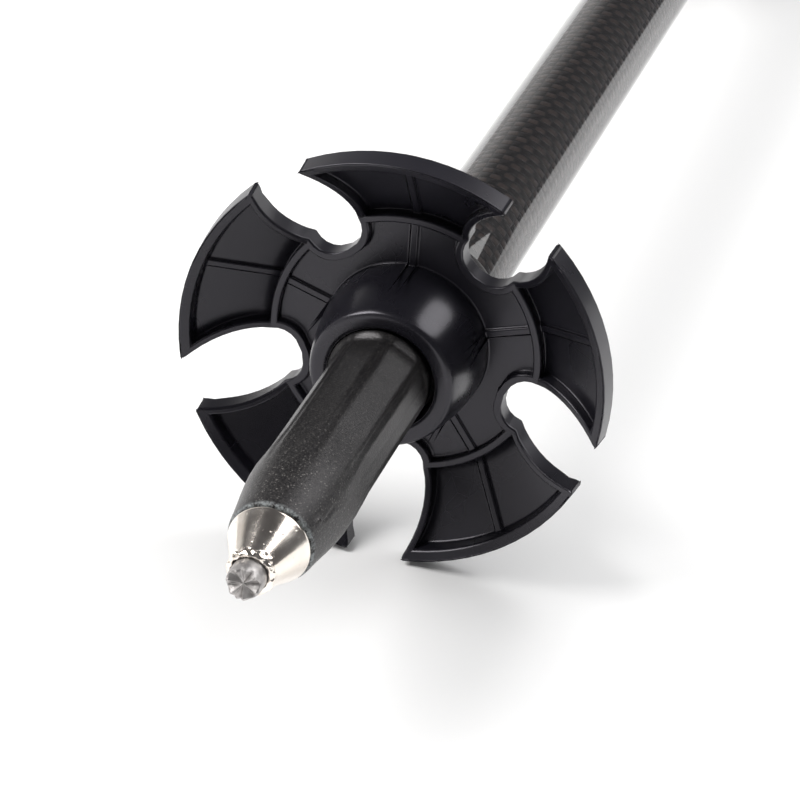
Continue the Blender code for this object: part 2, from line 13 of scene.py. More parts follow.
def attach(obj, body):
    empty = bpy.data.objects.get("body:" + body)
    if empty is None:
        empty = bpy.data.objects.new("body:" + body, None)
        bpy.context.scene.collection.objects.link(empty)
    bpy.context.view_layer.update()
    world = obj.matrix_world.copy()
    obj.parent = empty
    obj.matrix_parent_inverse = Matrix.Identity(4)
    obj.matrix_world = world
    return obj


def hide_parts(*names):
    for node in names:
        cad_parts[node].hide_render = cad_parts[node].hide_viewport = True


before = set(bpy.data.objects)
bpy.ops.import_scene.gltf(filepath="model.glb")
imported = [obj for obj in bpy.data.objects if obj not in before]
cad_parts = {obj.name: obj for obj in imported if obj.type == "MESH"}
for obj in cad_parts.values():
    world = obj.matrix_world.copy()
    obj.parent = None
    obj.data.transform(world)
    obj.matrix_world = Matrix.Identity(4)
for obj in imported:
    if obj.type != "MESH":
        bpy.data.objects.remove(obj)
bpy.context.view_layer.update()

MM = 0.001
BASKET_X = -989.0
FLOOR_A, FLOOR_B = (-985.0, -32.2), (-22.0, -15.0)

# ================================================================================ node helpers


def put(nt, socket, value):
    if isinstance(value, bpy.types.NodeSocket):
        nt.links.new(value, socket)
    elif value is not None:
        socket.default_value = value


def node(nt, kind, props=None, **inputs):
    n = nt.nodes.new(kind)
    for key, value in (props or {}).items():
        setattr(n, key, value)
    for key, value in inputs.items():
        socket = n.inputs[int(key[1:])] if key[0] == "_" else n.inputs[key.replace("_", " ")]
        put(nt, socket, value)
    return n


def calc(nt, op, a, b=None, c=None, clamp=False):
    n = node(nt, "ShaderNodeMath", {"operation": op, "use_clamp": clamp}, _0=a)
    if b is not None:
        put(nt, n.inputs[1], b)
    if c is not None:
        put(nt, n.inputs[2], c)
    return n.outputs[0]


def remap(nt, value, a, b, c, d, smooth=False):
    n = node(nt, "ShaderNodeMapRange", {"interpolation_type": "SMOOTHSTEP" if smooth else "LINEAR"},
             Value=value, From_Min=a, From_Max=b, To_Min=c, To_Max=d)
    return n.outputs[0]


def place(nt, stretch=(1, 1, 1), turn=(0, 0, 0)):
    """Object coordinates in metres, stretched and turned."""
    co = node(nt, "ShaderNodeTexCoord").outputs["Object"]
    return node(nt, "ShaderNodeMapping", {"vector_type": "POINT"}, Vector=co, Scale=stretch,
                Rotation=turn).outputs[0]


def cloud(nt, vec, size_mm, detail=2.0, rough=0.5, distort=0.0):
    return node(nt, "ShaderNodeTexNoise", None, Vector=vec, Scale=1000.0 / size_mm, Detail=detail,
                Roughness=rough, Distortion=distort).outputs[0]


def cells(nt, vec, size_mm, feature="F1", out="Distance", rand=1.0):
    return node(nt, "ShaderNodeTexVoronoi", {"feature": feature}, Vector=vec,
                Scale=1000.0 / size_mm, Randomness=rand).outputs[out]


def blendcol(nt, fac, a, b, mode="MIX"):
    n = nt.nodes.new("ShaderNodeMix")
    n.data_type = "RGBA"
    n.blend_type = mode
    put(nt, n.inputs[0], fac)
    put(nt, n.inputs[6], a)
    put(nt, n.inputs[7], b)
    return n.outputs[2]


def rgb(r, g, b):
    return (r, g, b, 1.0)


def bump(nt, height, depth_mm, strength=1.0, normal=None):
    n = node(nt, "ShaderNodeBump", None, Strength=strength, Distance=depth_mm * MM, Height=height)
    if normal is not None:
        nt.links.new(normal, n.inputs["Normal"])
    return n.outputs[0]


def new_material(name):
    m = bpy.data.materials.new(name)
    m.use_nodes = True
    nt = m.node_tree
    return m, nt, nt.nodes["Principled BSDF"]


def scratches(nt, along=(1, 1, 1), size=1.2, turn=(0, 0, 0.5), width=0.012):
    """Thin, sparse hairline marks, from 0 to 1."""
    vec = place(nt, along, turn)
    lines = cells(nt, vec, size, "DISTANCE_TO_EDGE")
    thin = remap(nt, lines, 0.0, width, 1.0, 0.0)
    where = remap(nt, cloud(nt, place(nt), 9.0, 2.0), 0.52, 0.62, 0.0, 1.0)
    return calc(nt, "MULTIPLY", thin, where)


# ================================================================================ materials


def moulded(name, base, rough, spread=0.06, grain=0.0, grain_mm=0.25, peel=0.01, peel_mm=2.2,
            marks=0.5, edge=0.0, spec=0.5, tint=1.25,
            sheen_tint=(1.0, 1.0, 1.0)):
    """Injection-moulded plastic: shade, gloss and grain that vary, with light handling marks."""
    m, nt, b = new_material(name)
    co = place(nt)
    broad = cloud(nt, co, 14.0, 3.0)
    dark = rgb(*[c * 0.86 for c in base])
    light = rgb(*[c * tint for c in base])
    colour = blendcol(nt, remap(nt, broad, 0.35, 0.65, 0.0, 1.0), dark, light)
    hair = scratches(nt, (0.25, 1, 1), 2.6, (0.3, 0.2, 0.5))
    if edge:
        worn = remap(nt, node(nt, "ShaderNodeNewGeometry").outputs["Pointiness"], 0.53, 0.60, 0.0, edge)
        colour = blendcol(nt, worn, colour, rgb(*[c * 3.0 + 0.01 for c in base]))
    nt.links.new(colour, b.inputs["Base Color"])
    r = remap(nt, broad, 0.3, 0.7, rough - spread, rough + spread)
    r = calc(nt, "MULTIPLY_ADD", hair, 0.12 * marks, r)
    height = calc(nt, "MULTIPLY", cloud(nt, co, peel_mm, 1.0), 1.0)
    normal = bump(nt, height, peel, 1.0)
    if grain:
        fine = cloud(nt, co, grain_mm, 2.0, 0.6)
        r = calc(nt, "MULTIPLY_ADD", calc(nt, "SUBTRACT", fine, 0.5), 0.25, r)
        normal = bump(nt, fine, grain, 1.0, normal)
    if marks:
        normal = bump(nt, hair, -0.004 * marks, 1.0, normal)
    nt.links.new(r, b.inputs["Roughness"])
    nt.links.new(normal, b.inputs["Normal"])
    b.inputs["Specular IOR Level"].default_value = spec
    b.inputs["Specular Tint"].default_value = rgb(*sheen_tint)
    return m


def tip_plastic(name):
    """Hard moulded tip body: spark-eroded grain, bright specks painted in as painted glints, grain specks painted
    lighter towards the taper as a painted highlight, a frosted front lip.
    """
    m, nt, b = new_material(name)
    co = place(nt)
    x = node(nt, "ShaderNodeSeparateXYZ", None, Vector=co).outputs[0]
    s = calc(nt, "MULTIPLY_ADD", x, 1000.0, -BASKET_X)          # mm behind the rim plane
    broad = cloud(nt, co, 11.0, 3.0)
    fine = cloud(nt, co, 0.34, 3.0, 0.7)
    # painted glints: near-white specks in the colour where sparkles of light show, more of them towards the taper
    glint_cells = cells(nt, co, 0.40)
    painted_glint = remap(nt, glint_cells, 0.14, 0.34, 1.0, 0.0)
    lit = remap(nt, cloud(nt, co, 0.8, 2.0), 0.42, 0.62, 0.0, 1.0)
    # ramp towards the taper: it paints a highlight there by strengthening the specks and glints, and makes the
    # surface a little rougher
    lower = remap(nt, s, -22.0, -45.0, 0.25, 1.0, True)
    painted_glint = calc(nt, "MULTIPLY", calc(nt, "MULTIPLY", painted_glint, lit), lower)
    frost = remap(nt, s, -49.25, -50.1, 0.0, 1.0, True)
    rub = remap(nt, cloud(nt, co, 0.6, 3.0, 0.7), 0.38, 0.62, 0.0, 1.0)
    frost = calc(nt, "MULTIPLY", frost, rub)
    colour = blendcol(nt, remap(nt, broad, 0.3, 0.7, 0.0, 1.0), rgb(0.0045, 0.0043, 0.0050),
                      rgb(0.0080, 0.0075, 0.0078))
    # lighter grain specks: partly the grain's own tone, partly painted highlight, since they grow stronger
    # towards the taper
    speck = remap(nt, cloud(nt, co, 0.30, 2.0, 0.6), 0.44, 0.60, 0.0, 1.0)
    colour = blendcol(nt, calc(nt, "MULTIPLY", speck, calc(nt, "MULTIPLY_ADD", lower, 0.60, 0.40)), colour,
                      rgb(0.0235, 0.0222, 0.0215))
    # painted glints mixed into the colour
    colour = blendcol(nt, calc(nt, "MULTIPLY", painted_glint, 0.85), colour, rgb(0.20, 0.19, 0.18))
    colour = blendcol(nt, calc(nt, "MULTIPLY", frost, 0.85), colour, rgb(0.33, 0.36, 0.365))
    nt.links.new(colour, b.inputs["Base Color"])
    r = remap(nt, broad, 0.3, 0.7, 0.29, 0.38)
    r = calc(nt, "MULTIPLY_ADD", lower, 0.05, r)
    r = calc(nt, "MULTIPLY_ADD", painted_glint, -0.15, r)
    r = calc(nt, "MULTIPLY_ADD", frost, 0.15, r, clamp=True)
    nt.links.new(r, b.inputs["Roughness"])
    normal = bump(nt, cloud(nt, co, 2.6, 1.0), 0.012)
    deep = calc(nt, "MULTIPLY", fine, remap(nt, s, -8.0, -34.0, 0.55, 1.0, True))
    normal = bump(nt, deep, 0.075, 1.0, normal)
    normal = bump(nt, calc(nt, "MULTIPLY", frost, fine), 0.10, 1.0, normal)
    nt.links.new(normal, b.inputs["Normal"])
    b.inputs["Specular IOR Level"].default_value = 0.46
    b.inputs["Specular Tint"].default_value = rgb(0.99, 0.955, 0.975)
    return m


def nickel(name):
    """Plated, turned ferrule: warm mirror with fine turning marks, pits and specks."""
    m, nt, b = new_material(name)
    co = place(nt)
    turn = node(nt, "ShaderNodeTexNoise", {"noise_dimensions": "1D"}, Scale=1.0, Detail=3.0,
                W=calc(nt, "MULTIPLY", node(nt, "ShaderNodeSeparateXYZ", None, Vector=co).outputs[0],
                       9000.0)).outputs[0]
    pits = remap(nt, cells(nt, co, 0.75), 0.05, 0.17, 1.0, 0.0)
    patch = remap(nt, cloud(nt, co, 2.5, 3.0, 0.6), 0.46, 0.62, 0.0, 1.0)
    pits = calc(nt, "MULTIPLY", pits, patch)
    cloudy = cloud(nt, co, 3.5, 4.0, 0.6)
    colour = blendcol(nt, remap(nt, cloudy, 0.35, 0.65, 0.0, 1.0), rgb(0.84, 0.76, 0.68),
                      rgb(0.92, 0.86, 0.79))
    colour = blendcol(nt, calc(nt, "MULTIPLY", pits, 0.3), colour, rgb(0.30, 0.25, 0.20))
    nt.links.new(colour, b.inputs["Base Color"])
    b.inputs["Metallic"].default_value = 1.0
    r = remap(nt, cloudy, 0.3, 0.7, 0.10, 0.22)
    r = calc(nt, "MULTIPLY_ADD", pits, 0.3, r)
    nt.links.new(r, b.inputs["Roughness"])
    normal = bump(nt, turn, 0.0016)
    normal = bump(nt, pits, -0.06, 0.9, normal)
    normal = bump(nt, cloud(nt, co, 0.5, 3.0, 0.65), 0.009, 1.0, normal)
    nt.links.new(normal, b.inputs["Normal"])
    return m


def carbide_grain(name):
    m, nt, b = new_material(name)
    co = place(nt)
    fine = cloud(nt, co, 0.16, 3.0, 0.7)
    broad = cloud(nt, co, 1.1, 3.0)
    colour = blendcol(nt, remap(nt, broad, 0.35, 0.65, 0.0, 1.0), rgb(0.33, 0.315, 0.31),
                      rgb(0.52, 0.50, 0.49))
    nt.links.new(colour, b.inputs["Base Color"])
    b.inputs["Metallic"].default_value = 0.9
    nt.links.new(remap(nt, fine, 0.3, 0.7, 0.36, 0.54), b.inputs["Roughness"])
    nt.links.new(bump(nt, fine, 0.016, 1.0, bump(nt, broad, 0.012)), b.inputs["Normal"])
    return m


def carbon(name, around, pitch):
    """Woven carbon fibre under a clear coat; `around` tows round the tube, `pitch` mm along it."""
    m, nt, b = new_material(name)
    co = place(nt)
    sep = node(nt, "ShaderNodeSeparateXYZ", None, Vector=co)
    x, y, z = sep.outputs
    u = calc(nt, "MULTIPLY", x, 1000.0 / pitch)
    v = calc(nt, "MULTIPLY", calc(nt, "ARCTAN2", y, z), around / (2 * math.pi))
    wob = calc(nt, "MULTIPLY_ADD", cloud(nt, co, 7.0, 1.0), 0.16, -0.08)
    u, v = calc(nt, "ADD", u, wob), calc(nt, "SUBTRACT", v, wob)
    fu, fv = calc(nt, "FRACT", u), calc(nt, "FRACT", v)
    total = calc(nt, "ADD", calc(nt, "FLOOR", u), calc(nt, "FLOOR", v))
    side = calc(nt, "FLOORED_MODULO", total, 2.0)                # 1 = tow along the tube on top
    hu = calc(nt, "SINE", calc(nt, "MULTIPLY", fu, math.pi))
    hv = calc(nt, "SINE", calc(nt, "MULTIPLY", fv, math.pi))
    along = calc(nt, "MULTIPLY", calc(nt, "POWER", hv, 0.45), calc(nt, "POWER", hu, 0.9))
    hoop = calc(nt, "MULTIPLY", calc(nt, "POWER", hu, 0.45), calc(nt, "POWER", hv, 0.9))
    weave = node(nt, "ShaderNodeMix", {"data_type": "FLOAT"}, _0=side, _2=hoop, _3=along).outputs[0]
    # fibres: streaks along each tow
    fa = node(nt, "ShaderNodeTexNoise", {"noise_dimensions": "2D"}, Scale=1.0, Detail=2.0,
              Vector=node(nt, "ShaderNodeCombineXYZ", None, X=calc(nt, "MULTIPLY", u, 0.8),
                          Y=calc(nt, "MULTIPLY", v, 14.0)).outputs[0]).outputs[0]
    fh = node(nt, "ShaderNodeTexNoise", {"noise_dimensions": "2D"}, Scale=1.0, Detail=2.0,
              Vector=node(nt, "ShaderNodeCombineXYZ", None, X=calc(nt, "MULTIPLY", u, 14.0),
                          Y=calc(nt, "MULTIPLY", v, 0.8)).outputs[0]).outputs[0]
    fibre = node(nt, "ShaderNodeMix", {"data_type": "FLOAT"}, _0=side, _2=fh, _3=fa).outputs[0]
    # painted sheen: tows that run along the tube get a lighter warm colour for light caught by their fibres; tows
    # round the tube stay near black
    tow = blendcol(nt, side, rgb(0.0030, 0.0026, 0.0025), rgb(0.0235, 0.0175, 0.0148))
    tow = blendcol(nt, remap(nt, fibre, 0.35, 0.7, 0.0, 0.55), tow, rgb(0.008, 0.0075, 0.0075))
    # painted shade: the low gaps between tows are pulled to near black
    gap = remap(nt, weave, 0.15, 0.55, 1.0, 0.0)
    tow = blendcol(nt, gap, tow, rgb(0.004, 0.004, 0.004))
    nt.links.new(tow, b.inputs["Base Color"])
    nt.links.new(remap(nt, fibre, 0.3, 0.7, 0.36, 0.54), b.inputs["Roughness"])
    b.inputs["Specular IOR Level"].default_value = 0.14
    h = calc(nt, "MULTIPLY_ADD", fibre, 0.12, weave)
    nt.links.new(bump(nt, h, 0.12, 0.9), b.inputs["Normal"])
    b.inputs["Coat Weight"].default_value = 1.0
    b.inputs["Coat Roughness"].default_value = 0.05
    b.inputs["Coat IOR"].default_value = 1.47
    b.inputs["Coat Tint"].default_value = rgb(0.99, 0.965, 0.985)
    wave = calc(nt, "MULTIPLY_ADD", weave, 0.14, cloud(nt, co, 5.0, 2.0))
    dust = scratches(nt, (0.1, 1, 1), 3.2, (0.0, 0.1, 0.2), 0.008)
    nt.links.new(bump(nt, dust, -0.003, 1.0, bump(nt, wave, 0.008)), b.inputs["Coat Normal"])
    return m


def satin_metal(name, base, rough, brushed=(1, 1, 1), metallic=1.0, edge=0.0):
    m, nt, b = new_material(name)
    co = place(nt)
    line = cloud(nt, place(nt, brushed), 0.22, 3.0, 0.6)
    broad = cloud(nt, co, 8.0, 3.0)
    colour = blendcol(nt, remap(nt, broad, 0.3, 0.7, 0.0, 1.0), rgb(*[c * 0.85 for c in base]),
                      rgb(*[min(c * 1.12, 1) for c in base]))
    if edge:
        worn = remap(nt, node(nt, "ShaderNodeNewGeometry").outputs["Pointiness"], 0.53, 0.60, 0.0, edge)
        colour = blendcol(nt, worn, colour, rgb(0.55, 0.55, 0.56))
    nt.links.new(colour, b.inputs["Base Color"])
    b.inputs["Metallic"].default_value = metallic
    nt.links.new(calc(nt, "MULTIPLY_ADD", line, 0.16, rough - 0.08), b.inputs["Roughness"])
    nt.links.new(bump(nt, line, 0.004), b.inputs["Normal"])
    return m


def foam_skin(name):
    """Closed-cell foam: open pores cut through at the surface, painted darker inside as painted shade, dusty
    sheen.
    """
    m, nt, b = new_material(name)
    co = place(nt)
    pore = remap(nt, cells(nt, co, 0.75), 0.12, 0.42, 0.0, 1.0)
    small = remap(nt, cells(nt, co, 0.34), 0.1, 0.45, 0.0, 1.0)
    broad = cloud(nt, co, 16.0, 4.0)
    colour = blendcol(nt, remap(nt, broad, 0.3, 0.7, 0.0, 1.0), rgb(0.017, 0.017, 0.018),
                      rgb(0.030, 0.030, 0.031))
    # painted shade: the pores are darker where the bump sinks them
    colour = blendcol(nt, calc(nt, "MULTIPLY", pore, small), rgb(0.006, 0.006, 0.0065), colour)
    nt.links.new(colour, b.inputs["Base Color"])
    nt.links.new(remap(nt, small, 0.0, 1.0, 0.97, 0.80), b.inputs["Roughness"])
    h = calc(nt, "MULTIPLY_ADD", small, 0.35, pore)
    nt.links.new(bump(nt, h, 0.11, 0.9, bump(nt, broad, 0.5)), b.inputs["Normal"])
    b.inputs["Sheen Weight"].default_value = 0.12
    b.inputs["Sheen Roughness"].default_value = 0.5
    return m


def rubber(name):
    m, nt, b = new_material(name)
    co = place(nt)
    fine = cloud(nt, co, 0.30, 3.0, 0.65)
    broad = cloud(nt, co, 12.0, 3.0)
    colour = blendcol(nt, remap(nt, broad, 0.3, 0.7, 0.0, 1.0), rgb(0.014, 0.014, 0.015),
                      rgb(0.024, 0.0235, 0.024))
    dust = remap(nt, cloud(nt, co, 3.0, 5.0, 0.7), 0.58, 0.72, 0.0, 0.35)
    colour = blendcol(nt, dust, colour, rgb(0.06, 0.058, 0.055))
    nt.links.new(colour, b.inputs["Base Color"])
    nt.links.new(remap(nt, fine, 0.3, 0.7, 0.56, 0.74), b.inputs["Roughness"])
    nt.links.new(bump(nt, fine, 0.03, 0.9, bump(nt, broad, 0.1)), b.inputs["Normal"])
    return m


def attribute(nt, name, out="Fac"):
    return node(nt, "ShaderNodeAttribute", {"attribute_name": name}).outputs[out]


def webbing(name):
    """Woven strap: `run` and `across` give each point's place along and across it, in mm."""
    m, nt, b = new_material(name)
    co = place(nt)
    run, across = attribute(nt, "run"), attribute(nt, "across")
    tilt = calc(nt, "MULTIPLY", calc(nt, "PINGPONG", calc(nt, "ADD", across, 100.0), 2.1), 0.55)
    ph = calc(nt, "MULTIPLY", calc(nt, "ADD", run, tilt), 2 * math.pi / 1.15)
    weft = calc(nt, "MULTIPLY_ADD", calc(nt, "SINE", ph), 0.5, 0.5)
    warp = calc(nt, "MULTIPLY_ADD", calc(nt, "SINE", calc(nt, "MULTIPLY", across, 2 * math.pi / 1.05)),
                0.5, 0.5)
    yarn = calc(nt, "MULTIPLY", calc(nt, "POWER", weft, 0.6), calc(nt, "MULTIPLY_ADD", warp, 0.5, 0.5))
    fuzz = cloud(nt, co, 0.18, 2.0, 0.7)
    broad = cloud(nt, co, 9.0, 3.0)
    # painted shade: yarn crests lighter and the hollows between yarns near black, following the weave bump
    colour = blendcol(nt, yarn, rgb(0.006, 0.006, 0.0065), rgb(0.034, 0.034, 0.036))
    colour = blendcol(nt, remap(nt, broad, 0.3, 0.7, 0.0, 0.35), colour, rgb(0.020, 0.020, 0.022))
    colour = blendcol(nt, remap(nt, fuzz, 0.62, 0.74, 0.0, 0.4), colour, rgb(0.09, 0.09, 0.092))
    nt.links.new(colour, b.inputs["Base Color"])
    nt.links.new(remap(nt, yarn, 0.0, 1.0, 0.9, 0.62), b.inputs["Roughness"])
    nt.links.new(bump(nt, calc(nt, "MULTIPLY_ADD", fuzz, 0.15, yarn), 0.16, 0.9), b.inputs["Normal"])
    b.inputs["Sheen Weight"].default_value = 0.25
    b.inputs["Sheen Roughness"].default_value = 0.4
    return m


def pad_cloth(name):
    """Air-mesh fabric on the wrist pad, with small round openings painted near black as painted shade."""
    m, nt, b = new_material(name)
    co = place(nt)
    run, across = attribute(nt, "run"), attribute(nt, "across")
    row = calc(nt, "MULTIPLY", across, 1 / 1.3)
    shift = calc(nt, "MULTIPLY", calc(nt, "FLOORED_MODULO", calc(nt, "FLOOR", row), 2.0), 0.5)
    a = calc(nt, "SUBTRACT", calc(nt, "FRACT", calc(nt, "MULTIPLY_ADD", run, 1 / 1.5, shift)), 0.5)
    c = calc(nt, "SUBTRACT", calc(nt, "FRACT", row), 0.5)
    d = calc(nt, "SQRT", calc(nt, "ADD", calc(nt, "MULTIPLY", a, a), calc(nt, "MULTIPLY", c, c)))
    hole = remap(nt, d, 0.20, 0.34, 1.0, 0.0, True)
    fuzz = cloud(nt, co, 0.22, 3.0, 0.7)
    colour = blendcol(nt, remap(nt, fuzz, 0.35, 0.65, 0.0, 1.0), rgb(0.020, 0.020, 0.021),
                      rgb(0.050, 0.050, 0.052))
    # painted shade: the openings are near black
    colour = blendcol(nt, hole, colour, rgb(0.004, 0.004, 0.004))
    nt.links.new(colour, b.inputs["Base Color"])
    nt.links.new(remap(nt, fuzz, 0.3, 0.7, 0.78, 0.95), b.inputs["Roughness"])
    h = calc(nt, "MULTIPLY_ADD", hole, -1.0, calc(nt, "MULTIPLY", fuzz, 0.3))
    nt.links.new(bump(nt, h, 0.22, 0.9), b.inputs["Normal"])
    b.inputs["Sheen Weight"].default_value = 0.3
    b.inputs["Sheen Roughness"].default_value = 0.45
    return m


def thread(name, base):
    m, nt, b = new_material(name)
    co = place(nt)
    twist = node(nt, "ShaderNodeTexWave", {"bands_direction": "DIAGONAL"}, Vector=co, Scale=900.0,
                 Distortion=1.5, Detail=2.0).outputs[1]
    # painted shade: the twist's hollows darker and its ridges lighter, following the twist bump
    colour = blendcol(nt, twist, rgb(*[c * 0.5 for c in base]), rgb(*[c * 1.3 for c in base]))
    nt.links.new(colour, b.inputs["Base Color"])
    nt.links.new(remap(nt, twist, 0.0, 1.0, 0.75, 0.5), b.inputs["Roughness"])
    nt.links.new(bump(nt, twist, 0.05), b.inputs["Normal"])
    return m


M = {
    "carbide": carbide_grain("carbide"),
    "nickel": nickel("nickel"),
    "tip_plastic": tip_plastic("tip_plastic"),
    "basket_plastic": moulded("basket_plastic", (0.0094, 0.0090, 0.0124), 0.29, 0.04, peel=0.012,
                              peel_mm=3.4, marks=0.3, tint=1.2,
                              sheen_tint=(0.95, 0.92, 1.0)),
    "carbon": carbon("carbon", 28, 1.8),
    "carbon_upper": carbon("carbon_upper", 32, 1.77),
    "plug_plastic": moulded("plug_plastic", (0.42, 0.42, 0.40), 0.5, grain=0.006),
    "bushing_plastic": moulded("bushing_plastic", (0.62, 0.61, 0.57), 0.42, grain=0.004),
    "clamp_plastic": moulded("clamp_plastic", (0.016, 0.016, 0.017), 0.44, 0.06, grain=0.012,
                             grain_mm=0.28, edge=0.35),
    "lever_alloy": moulded("lever_alloy", (0.020, 0.020, 0.022), 0.34, 0.05, grain=0.006,
                           grain_mm=0.2, edge=0.6, marks=1.0),
    "steel": satin_metal("steel", (0.58, 0.58, 0.585), 0.26, (1, 1, 0.12), edge=0.0),
    "foam": foam_skin("foam"),
    "trim": satin_metal("trim", (0.26, 0.26, 0.27), 0.30, (1, 0.1, 0.1)),
    "grip_rubber": rubber("grip_rubber"),
    "grip_plastic": moulded("grip_plastic", (0.013, 0.013, 0.0145), 0.38, 0.06, grain=0.008,
                            grain_mm=0.3, edge=0.2),
    "webbing": webbing("webbing"),
    "pad_fabric": pad_cloth("pad_fabric"),
    "thread": thread("thread", (0.05, 0.05, 0.052)),
}

# ================================================================================ mesh helpers


def piece(name, bm, slot, body, nodes=(), mat=None, angle=38.0, bevel=0.0, segments=3,
          bevel_angle=30.0, subdivide=0, clamp=True):
    """Turns a bmesh into a shown piece that rides on a body."""
    bmesh.ops.remove_doubles(bm, verts=bm.verts, dist=2e-6)
    bmesh.ops.dissolve_degenerate(bm, edges=bm.edges, dist=1e-7)
    bmesh.ops.recalc_face_normals(bm, faces=bm.faces)
    mesh = bpy.data.meshes.new(name)
    bm.to_mesh(mesh)
    bm.free()
    obj = bpy.data.objects.new(name, mesh)
    bpy.context.scene.collection.objects.link(obj)
    mesh.materials.append(M[mat or slot])
    mesh.shade_smooth()
    mesh.set_sharp_from_angle(angle=math.radians(angle))
    if subdivide:
        sub = obj.modifiers.new("subdivide", "SUBSURF")
        sub.levels = sub.render_levels = subdivide
    if bevel:
        bev = obj.modifiers.new("bevel", "BEVEL")
        bev.width = bevel * MM
        bev.segments = segments
        bev.limit_method = "ANGLE"
        bev.angle_limit = math.radians(bevel_angle)
        bev.harden_normals = True
        bev.use_clamp_overlap = clamp
    if body:
        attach(obj, body)
    if nodes:
        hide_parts(*nodes)
    return obj


def carve(obj, *tools):
    """Cuts closed meshes out of a piece and applies the cut."""
    for i, bm in enumerate(tools):
        bmesh.ops.remove_doubles(bm, verts=bm.verts, dist=1e-6)
        bmesh.ops.recalc_face_normals(bm, faces=bm.faces)
        mesh = bpy.data.meshes.new(f"tool{i}")
        bm.to_mesh(mesh)
        bm.free()
        tool = bpy.data.objects.new(f"tool{i}", mesh)
        bpy.context.scene.collection.objects.link(tool)
        mod = obj.modifiers.new("cut", "BOOLEAN")
        mod.operation = "DIFFERENCE"
        mod.solver = "EXACT"
        mod.object = tool
    dg = bpy.context.evaluated_depsgraph_get()
    done = bpy.data.meshes.new_from_object(obj.evaluated_get(dg), depsgraph=dg)
    for mod in list(obj.modifiers):
        if mod.type == "BOOLEAN":
            bpy.data.objects.remove(mod.object, do_unlink=True)
    obj.modifiers.clear()
    old = obj.data
    done.name = obj.name
    obj.data = done
    bpy.data.meshes.remove(old)
    bm = bmesh.new()
    bm.from_mesh(obj.data)
    bmesh.ops.remove_doubles(bm, verts=bm.verts, dist=1e-6)
    bmesh.ops.dissolve_degenerate(bm, edges=bm.edges, dist=1e-7)
    bm.to_mesh(obj.data)
    bm.free()
    obj.data.shade_smooth()
    obj.data.set_sharp_from_angle(angle=math.radians(38.0))
    return obj


def rings(ring_list, cap_first=True, cap_last=True, loop=False):
    """Skins a list of rings, each a list of (x, y, z) in mm."""
    bm = bmesh.new()
    made = [[bm.verts.new((x * MM, y * MM, z * MM)) for x, y, z in ring] for ring in ring_list]
    pairs = list(zip(made, made[1:]))
    if loop:
        pairs.append((made[-1], made[0]))
    for a, b in pairs:
        n = len(a)
        for i in range(n):
            j = (i + 1) % n
            bm.faces.new((a[i], a[j], b[j], b[i]))
    if not loop:
        if cap_first:
            bm.faces.new(made[0])
        if cap_last:
            bm.faces.new(made[-1])
    return bm


def soften(points, closed=True, steps=4):
    """Rounds the corners of an outline: a point is (a, b) to stay sharp or (a, b, setback)."""
    out = []
    n = len(points)
    for i, p in enumerate(points):
        r = p[2] if len(p) > 2 else 0.0
        if r <= 0 or (not closed and i in (0, n - 1)):
            out.append((p[0], p[1]))
            continue
        a, c = points[i - 1], points[(i + 1) % n]
        la = math.hypot(a[0] - p[0], a[1] - p[1])
        lc = math.hypot(c[0] - p[0], c[1] - p[1])
        ra, rc = min(r, la * 0.48), min(r, lc * 0.48)
        ax, ay = p[0] + (a[0] - p[0]) * ra / la, p[1] + (a[1] - p[1]) * ra / la
        cx, cy = p[0] + (c[0] - p[0]) * rc / lc, p[1] + (c[1] - p[1]) * rc / lc
        for k in range(steps + 1):
            t = k / steps
            w = 0.42                                  # weight that brings the curve near an arc
            q = (1 - t) ** 2 + 2 * w * 2 * t * (1 - t) + t * t
            out.append((((1 - t) ** 2 * ax + 4 * w * t * (1 - t) * p[0] + t * t * cx) / q,
                        ((1 - t) ** 2 * ay + 4 * w * t * (1 - t) * p[1] + t * t * cy) / q))
    return out


def lathe(profile, sides=96, closed=True, dx=0.0, cap=True):
    """Turns (x, r) points round the X axis. A point with r = 0 closes the end."""
    ring_list = []
    for x, r in profile:
        ring_list.append([(x + dx, r * math.sin(2 * math.pi * i / sides),
                           r * math.cos(2 * math.pi * i / sides)) for i in range(sides)])
    bm = bmesh.new()
    made = []
    for (x, r), ring in zip(profile, ring_list):
        if r < 1e-6:
            made.append([bm.verts.new(((x + dx) * MM, 0, 0))])
        else:
            made.append([bm.verts.new((a * MM, b * MM, c * MM)) for a, b, c in ring])
    pairs = list(zip(made, made[1:]))
    if closed:
        pairs.append((made[-1], made[0]))
    for a, b in pairs:
        for i in range(sides):
            j = (i + 1) % sides
            if len(a) == 1 and len(b) == 1:
                continue
            if len(a) == 1:
                bm.faces.new((a[0], b[j], b[i]))
            elif len(b) == 1:
                bm.faces.new((a[i], a[j], b[0]))
            else:
                bm.faces.new((a[i], a[j], b[j], b[i]))
    return bm


def prism_x(outline, x0, x1, cuts=1):
    return rings([[(x0 + (x1 - x0) * k / cuts, y, z) for y, z in outline] for k in range(cuts + 1)])


def disc_z(cx, cy, z, r, sides=48):
    return [(cx + r * math.cos(2 * math.pi * i / sides), cy + r * math.sin(2 * math.pi * i / sides), z)
            for i in range(sides)]


def lathe_z(cx, cy, profile, sides=48, closed=True):
    """Turns (z, r) points round a vertical axis."""
    ring_list = [disc_z(cx, cy, z, r, sides) for z, r in profile]
    return rings(ring_list, cap_first=not closed, cap_last=not closed, loop=closed)


def arc(cx, cy, r, a0, a1, n):
    return [(cx + r * math.cos(math.radians(a0 + (a1 - a0) * i / n)),
             cy + r * math.sin(math.radians(a0 + (a1 - a0) * i / n))) for i in range(n + 1)]


def floor_z(x):
    (xa, za), (xb, zb) = FLOOR_A, FLOOR_B
    return za + (zb - za) * (x - xa) / (xb - xa)


def smooth01(t):
    t = min(max(t, 0.0), 1.0)
    return t * t * (3 - 2 * t)


